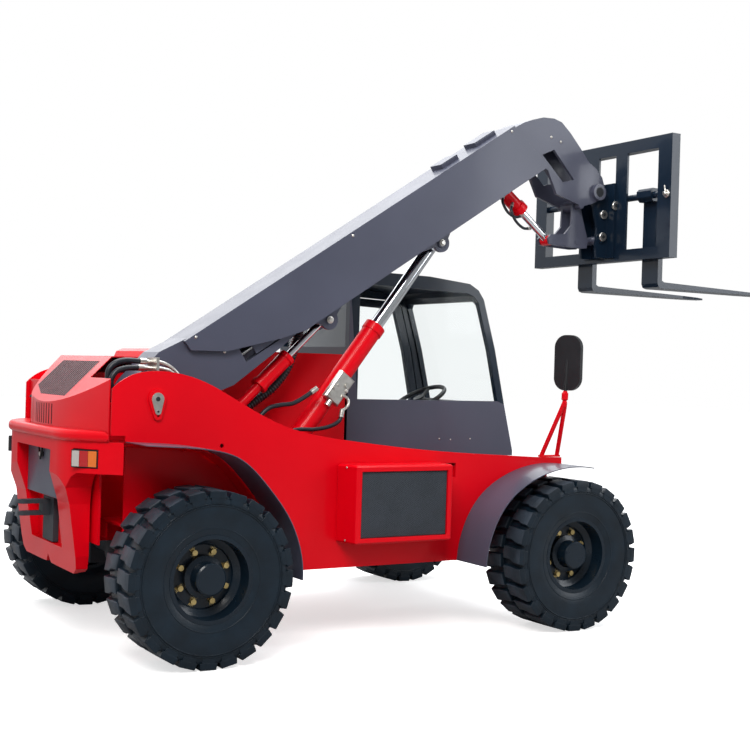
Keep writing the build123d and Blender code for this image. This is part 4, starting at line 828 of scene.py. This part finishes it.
def makeSeat(settings):
    source = nodes["seat"]
    mesh = source.data.copy()
    mesh.transform(source.matrix_world)
    seat = addObject("seatLooks", mesh)
    bpy.context.view_layer.objects.active = seat
    seat.select_set(True)
    remesh = seat.modifiers.new("even", "REMESH")
    remesh.mode = "VOXEL"
    remesh.voxel_size = settings["voxel"]
    apply(remesh)
    inward = seat.modifiers.new("smaller", "DISPLACE")
    inward.strength = -settings["shrink"]
    inward.mid_level = 0
    apply(inward)
    cloth = seat.modifiers.new("filled", "CLOTH")
    cloth.settings.use_pressure = True
    cloth.settings.uniform_pressure_force = settings["pressure"]
    cloth.settings.effector_weights.gravity = 0
    cloth.point_cache.frame_start = 1
    cloth.point_cache.frame_end = settings["frames"]
    for number in range(1, settings["frames"] + 1):
        scene.frame_set(number)
    apply(cloth)
    scene.frame_set(1)
    seat.modifiers.clear()
    soft = seat.modifiers.new("softer", "SUBSURF")
    soft.levels = 1
    apply(soft)
    setMaterial(seat, settings["finish"])
    seat.data.shade_smooth()
    seat.select_set(False)
    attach(seat, "root")
    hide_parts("seat")


makeSeat(seatForm)
print("stage: seat")

trees = {}


# where a line from a place, along a direction, meets a solid: the point and its outward normal
def surface(name, place, way):
    if name not in trees:
        mesh = nodes[name].data
        corners = [nodes[name].matrix_world @ v.co for v in mesh.vertices]
        trees[name] = BVHTree.FromPolygons(corners, [tuple(p.vertices) for p in mesh.polygons])
    hit, normal, _, _ = trees[name].ray_cast(Vector(place), Vector(way))
    if hit is None:
        return None, None
    return hit, -normal if normal.dot(Vector(way)) > 0 else normal


# fasteners: kind, radius in millimetres, the solid that they sit on, its body, and their x and z on its right side
fasteners = [
    ("dome", 9, "boom_outer", "boom", [(84, 1708), (1060, 2344), (2207, 3100), (272, 1634)]),
    ("dome", 9, "boom_inner", "boom_extension", [(2560, 3112), (2640, 3090)]),
    ("hex", 16, "boom_outer", "boom", [(1729, 2358), (958, 1845)]),
    ("screw", 7, "cooler_box", "root", [(920, 590), (1597, 590), (920, 1002), (1597, 1002)]),
    ("dome", 5, "cab_shell", "root", [(2008, 1119), (2097, 1115), (2255, 1120)]),
    ("disc", 30, "coupler", "coupler", [(3051, 2652), (3094, 2710), (3039, 2501)]),
    ("hex", 9, "valve_block", "lift_barrel", [(1020, 1462), (1075, 1428)]),
]

# each kind's turned forms: a finish, a number of sides, and pairs of a share of the radius with a height,
# which is metres and a share of the radius
fastenerForms = {
    "dome": [(0, 20, [(1, 0, 0), (1, 0.003, 0), (0.86, 0.002, 0.35), (0.5, 0.002, 0.6), (0.12, 0.002, 0.68)])],
    "hex": [(0, 24, [(1.35, 0, 0), (1.35, 0.0042, 0), (1.25, 0.005, 0)])],
    # the second finish of the screw and the disc is painted shade in the screw's socket and the disc's middle
    "screw": [(0, 20, [(1, 0, 0), (1, 0.004, 0), (0.8, 0.0055, 0)]), (1, 6, [(0.42, 0, 0), (0.42, 0.0062, 0)])],
    "disc": [(0, 32, [(0.94, 0, 0), (1, 0.002, 0), (1, 0.011, 0), (0.9, 0.014, 0)]),
             (1, 16, [(0.4, 0, 0), (0.4, 0.0165, 0)])],
}
fastenerSink = 0.002
hexHead = {"above": 0.004, "height": 0.7}


def addFastener(shape, kind, place, normal, radius):
    r = radius / 1000
    base = place - normal * fastenerSink
    for finish, sides, pairs in fastenerForms[kind]:
        shape.turned([(r * across, high + r * share) for across, high, share in pairs], base, normal, finish, sides)
    if kind == "hex":
        shape.hexagon(base + normal * hexHead["above"], normal, r, r * hexHead["height"])


# a line that looks for the right side of a solid starts this far out, in millimetres
outside = -1400


def makeFasteners(table):
    shapes = {}
    for kind, radius, name, body, places in table:
        shape = shapes.setdefault(body, Shape("zincSteel", "paintedShadeBlack"))
        for x, z in places:
            hit, normal = surface(name, at(x, outside, z), (0, 1, 0))
            if hit is not None:
                addFastener(shape, kind, hit, normal, radius)
    for body, shape in shapes.items():
        shape.make("fasteners_" + body, body)


makeFasteners(fasteners)

# the dark opening of the neck's pivot tube, a disc of painted shade, and the lock pin of the carriage: x, y and z
# in millimetres, then metres from there
pivot = {"centre": (2969, 2791), "radius": 0.030, "sink": 0.0008, "thick": 0.0018, "finish": "paintedShadeBlack"}
lock = {"place": (3102, -1097, 2743), "collar": [(0.024, 0), (0.026, 0.003), (0.026, 0.010), (0.021, 0.014)],
        "pin": [(0.012, 0), (0.012, 0.030), (0.009, 0.033)], "lever": ((-0.020, -0.003, 0), (-0.020, 0.004, 0.052)),
        "leverRadius": 0.006, "finish": "zincSteel", "second": "paintedShadeBlack"}


def makePivot(settings):
    x, z = settings["centre"]
    hit, normal = surface("coupler", at(x, outside, z), (0, 1, 0))
    if hit is not None:
        shape = Shape(settings["finish"])
        shape.turned([(settings["radius"], 0), (settings["radius"], settings["thick"])],
                     hit - normal * settings["sink"], normal, 0, 32)
        shape.make("pivotOpening", "coupler")


def makeLock(settings):
    shape = Shape(settings["finish"], settings["second"])
    place = at(*settings["place"])
    shape.turned(settings["collar"], place, (-1, 0, 0), 0, 32)
    shape.turned(settings["pin"], place, (-1, 0, 0), 0, 20)
    low, high = (place + Vector(end) for end in settings["lever"])
    shape.rod(low, high, settings["leverRadius"], 0, 12)
    shape.make("lockPin", "coupler")


makePivot(pivot)
makeLock(lock)

# tubes over the mirror's bars, in millimetres, with a clamp below its head: each bar as x, and the share of
# the way from its foot to its top in y, and z
mirrorArm = {"x": 2484, "y": -880, "foot": -750, "radius": 14.0, "clampRadius": 21.0, "finish": "redPaint",
             "bars": [[(-64, 0, 1048), (-34, 0.5, 1214), (-6, 1, 1372)],
                      [(61, 0, 1048), (35, 0.5, 1214), (8, 1, 1372)]],
             "top": (2, 1392), "inward": 2, "stem": ((1, 1360), (6, 1462)), "clamp": ((3, 1404), (5, 1452)),
             "clampEdge": 4}


def makeMirrorArm(settings):
    shape = Shape(settings["finish"])
    x, y, foot, radius = settings["x"], settings["y"], settings["foot"], settings["radius"] / 1000
    topX, topZ = settings["top"]
    for bar in settings["bars"]:
        stops = [at(x + dx, foot + (y - foot) * share + (settings["inward"] if share == 1 else 0), z)
                 for dx, share, z in bar]
        shape.tube(curveThrough(stops + [at(x + topX, y, topZ)]), radius, 0, 16)
    (lowX, low), (highX, high) = settings["stem"]
    shape.rod(at(x + lowX, y, low), at(x + highX, y, high), radius, 0, 20)
    (lowX, low), (highX, high) = settings["clamp"]
    shape.rod(at(x + lowX, y, low), at(x + highX, y, high), settings["clampRadius"] / 1000, 0, 24,
              settings["clampEdge"] / 1000)
    shape.make("mirrorArm", "root")


makeMirrorArm(mirrorArm)
print("stage: fasteners")

# a dark screen under the hood's slots, painted shade of the bay seen through them, in millimetres
underSlots = {"x": (-560, -345), "y": (-322, 322), "depth": 9.5, "thick": 3, "finish": "paintedShadeBlack"}


def makeUnderSlots(settings):
    shape = Shape(settings["finish"])
    rise = hoodSlots["rise"]
    corners = [at(x + depth, y, x + rise - depth)
               for depth in (settings["depth"], settings["depth"] + settings["thick"])
               for x in settings["x"] for y in settings["y"]]
    shape.keep(corners, boxFaces, 0, False)
    shape.make("underSlots", "hood")


makeUnderSlots(underSlots)

# darker strips between the hood's slots, in millimetres: from y "shortFrom" on they end higher by a share of y
strips = {"count": 20, "pitch": 33.0, "wide": 19.0, "high": -352, "low": -545, "rise": (-0.5, 0.8), "slant": 0.7071,
          "shortFrom": 110, "shorter": 0.22, "finish": "grilleBrown"}


def makeStrips(settings):
    shape = Shape(settings["finish"])
    for n in range(settings["count"]):
        y = (n - (settings["count"] - 1) / 2) * settings["pitch"]
        low = settings["low"] + max(0, y - settings["shortFrom"]) * settings["shorter"]
        corners = []
        for lift in settings["rise"]:
            out = lift * settings["slant"]
            corners += [at(x - out, y + side * settings["wide"], x + hoodSlots["rise"] + out)
                        for x in (low, settings["high"]) for side in (-0.5, 0.5)]
        shape.keep(corners, boxFaces, 0, False)
    shape.make("grilleStrips", "hood")


makeStrips(strips)

# the steel keeper on its raised pad, in millimetres; its bore and hole hold discs of painted shade
keeper = {"centre": (-195, 1372), "tail": (3, -66), "radii": (34, 17), "bore": 12.5, "hole": 6.0, "face": -792.0,
          "thick": 5.0, "sunk": 0.5, "steps": (24, 12), "bevel": 1.2, "rim": 2.5, "rimHeight": 1.3, "boreHeight": 1.6,
          "finish": "zincSteel", "dark": "paintedShadeBlack"}


def makeKeeper(settings):
    shape = Shape(settings["finish"], settings["dark"])
    (x, z), (dx, dz) = settings["centre"], settings["tail"]
    big, small = settings["radii"]
    tilt = math.atan2(dz, dx)
    spread = math.acos((big - small) / math.hypot(dx, dz))
    outline = []
    many, few = settings["steps"]
    for n in range(many + 1):
        angle = tilt + spread + (2 * pi - 2 * spread) * n / many
        outline.append((x + big * math.cos(angle), z + big * math.sin(angle)))
    for n in range(few + 1):
        angle = tilt - spread + 2 * spread * n / few
        outline.append((x + dx + small * math.cos(angle), z + dz + small * math.sin(angle)))
    front = settings["face"] - settings["thick"]
    shape.plate([((px + originX) / 1000, pz / 1000) for px, pz in outline], front / 1000,
                (settings["face"] + settings["sunk"]) / 1000)
    shape.bevel(settings["bevel"] / 1000)
    for px, pz, radius in ((x, z, settings["bore"]), (x + dx, z + dz, settings["hole"])):
        for wide, high, finish in ((radius, settings["boreHeight"], 1),
                                   (radius + settings["rim"], settings["rimHeight"], 0)):
            shape.turned([(wide / 1000, 0), (wide / 1000, high / 1000)], at(px, front + 1, pz), (0, -1, 0), finish, 24)
    shape.make("keeperLooks", "root")


makeKeeper(keeper)

# held hoses and the pipe at the lift cylinder's block, in millimetres: each hose from the block down to the
# chassis, with a stop number, loose; only the pipe moves with the block
liftHoses = {
    "left": {"stops": [(872, -575, 1440), (800, -572, 1392), (722, -568, 1352), (640, -560, 1340), (570, -552, 1318),
                       (510, -545, 1250), (472, -535, 1130), (460, -530, 1010)], "radius": 13.0, "loose": 6},
    "lower": {"stops": [(1040, -590, 1318), (1022, -594, 1258), (960, -594, 1222), (860, -588, 1203), (740, -575, 1198),
                        (620, -555, 1150), (540, -545, 1070), (500, -540, 990)], "radius": 12.0, "loose": 6},
}
liftPipe = {"stops": [(1046, -572, 1402), (1078, -580, 1386), (1082, -586, 1350), (1056, -590, 1324),
                      (1040, -590, 1318)], "radius": 9.0, "finish": "zincSteel"}

# the steel sleeve at a hose's end, in metres: how far it lies on the hose and stands off, and how much thicker it is
liftSleeve = {"on": 0.045, "off": 0.004, "thicker": 0.0028}


def makeLiftHoses():
    for name, settings in liftHoses.items():
        route = curveThrough([at(*p) for p in settings["stops"]])
        shape = Shape("hoseRubber", "zincSteel")
        shape.tube(route, settings["radius"] / 1000, 0, 18)
        start = (route[0] - route[4]).normalized()
        shape.rod(route[0] - start * liftSleeve["on"], route[0] + start * liftSleeve["off"],
                  settings["radius"] / 1000 + liftSleeve["thicker"], 1, 20)
        hose = shape.make("liftHose_" + name, None)
        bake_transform(hose)
    shape = Shape(liftPipe["finish"])
    shape.tube(curveThrough([at(*p) for p in liftPipe["stops"]]), liftPipe["radius"] / 1000, 0, 16)
    shape.make("liftPipe", "lift_barrel")


makeLiftHoses()

# small hoses of the tilt cylinder, in millimetres, in loops below the boom's end
tiltHoses = {"routes": [[(2230, -520, 2706), (2206, -545, 2660), (2236, -560, 2598), (2310, -545, 2572),
                         (2390, -520, 2590)],
                        [(2300, -525, 2660), (2270, -555, 2610), (2300, -565, 2545), (2372, -555, 2505),
                         (2448, -530, 2512)]],
             "radius": 9.0, "thicker": 2, "sleeve": (4, 30), "finish": "hoseRubber", "ends": "zincSteel"}


def makeTiltHoses(settings):
    shape = Shape(settings["finish"], settings["ends"])
    off, on = (length / 1000 for length in settings["sleeve"])
    for route in settings["routes"]:
        line = curveThrough([at(*p) for p in route])
        shape.tube(line, settings["radius"] / 1000)
        for a, b in ((line[0], line[3]), (line[-1], line[-4])):
            way = (b - a).normalized()
            shape.rod(a - way * off, a + way * on, (settings["radius"] + settings["thicker"]) / 1000, 1, 16)
    shape.make("tiltHoses", "tilt_barrel")


makeTiltHoses(tiltHoses)

# the latch on the rear panel: its place in millimetres, then a plate, a V of two bars and a button in metres
latch = {"place": (-552, 30, 1030), "plate": ((-0.006, -0.034, -0.012), (0.001, 0.034, 0.012)), "barX": -0.010,
         "bar": (0.030, 0.034, -0.030), "barRadius": 0.006, "button": 0.016, "buttonRadius": 0.013,
         "finish": "blackPlastic", "second": "zincSteel"}


def makeLatch(settings):
    shape = Shape(settings["finish"], settings["second"])
    place = at(*settings["place"])
    shape.box(*(place + Vector(corner) for corner in settings["plate"]))
    across, high, low = settings["bar"]
    for side in (-1, 1):
        shape.rod(place + Vector((settings["barX"], side * across, high)),
                  place + Vector((settings["barX"], 0, low)), settings["barRadius"], 0, 10)
    shape.rod(place - Vector((settings["button"], 0, 0)), place, settings["buttonRadius"], 1, 16)
    shape.make("latch", "root")


makeLatch(latch)
print("stage: hoses and latch")

print("stage: finished")
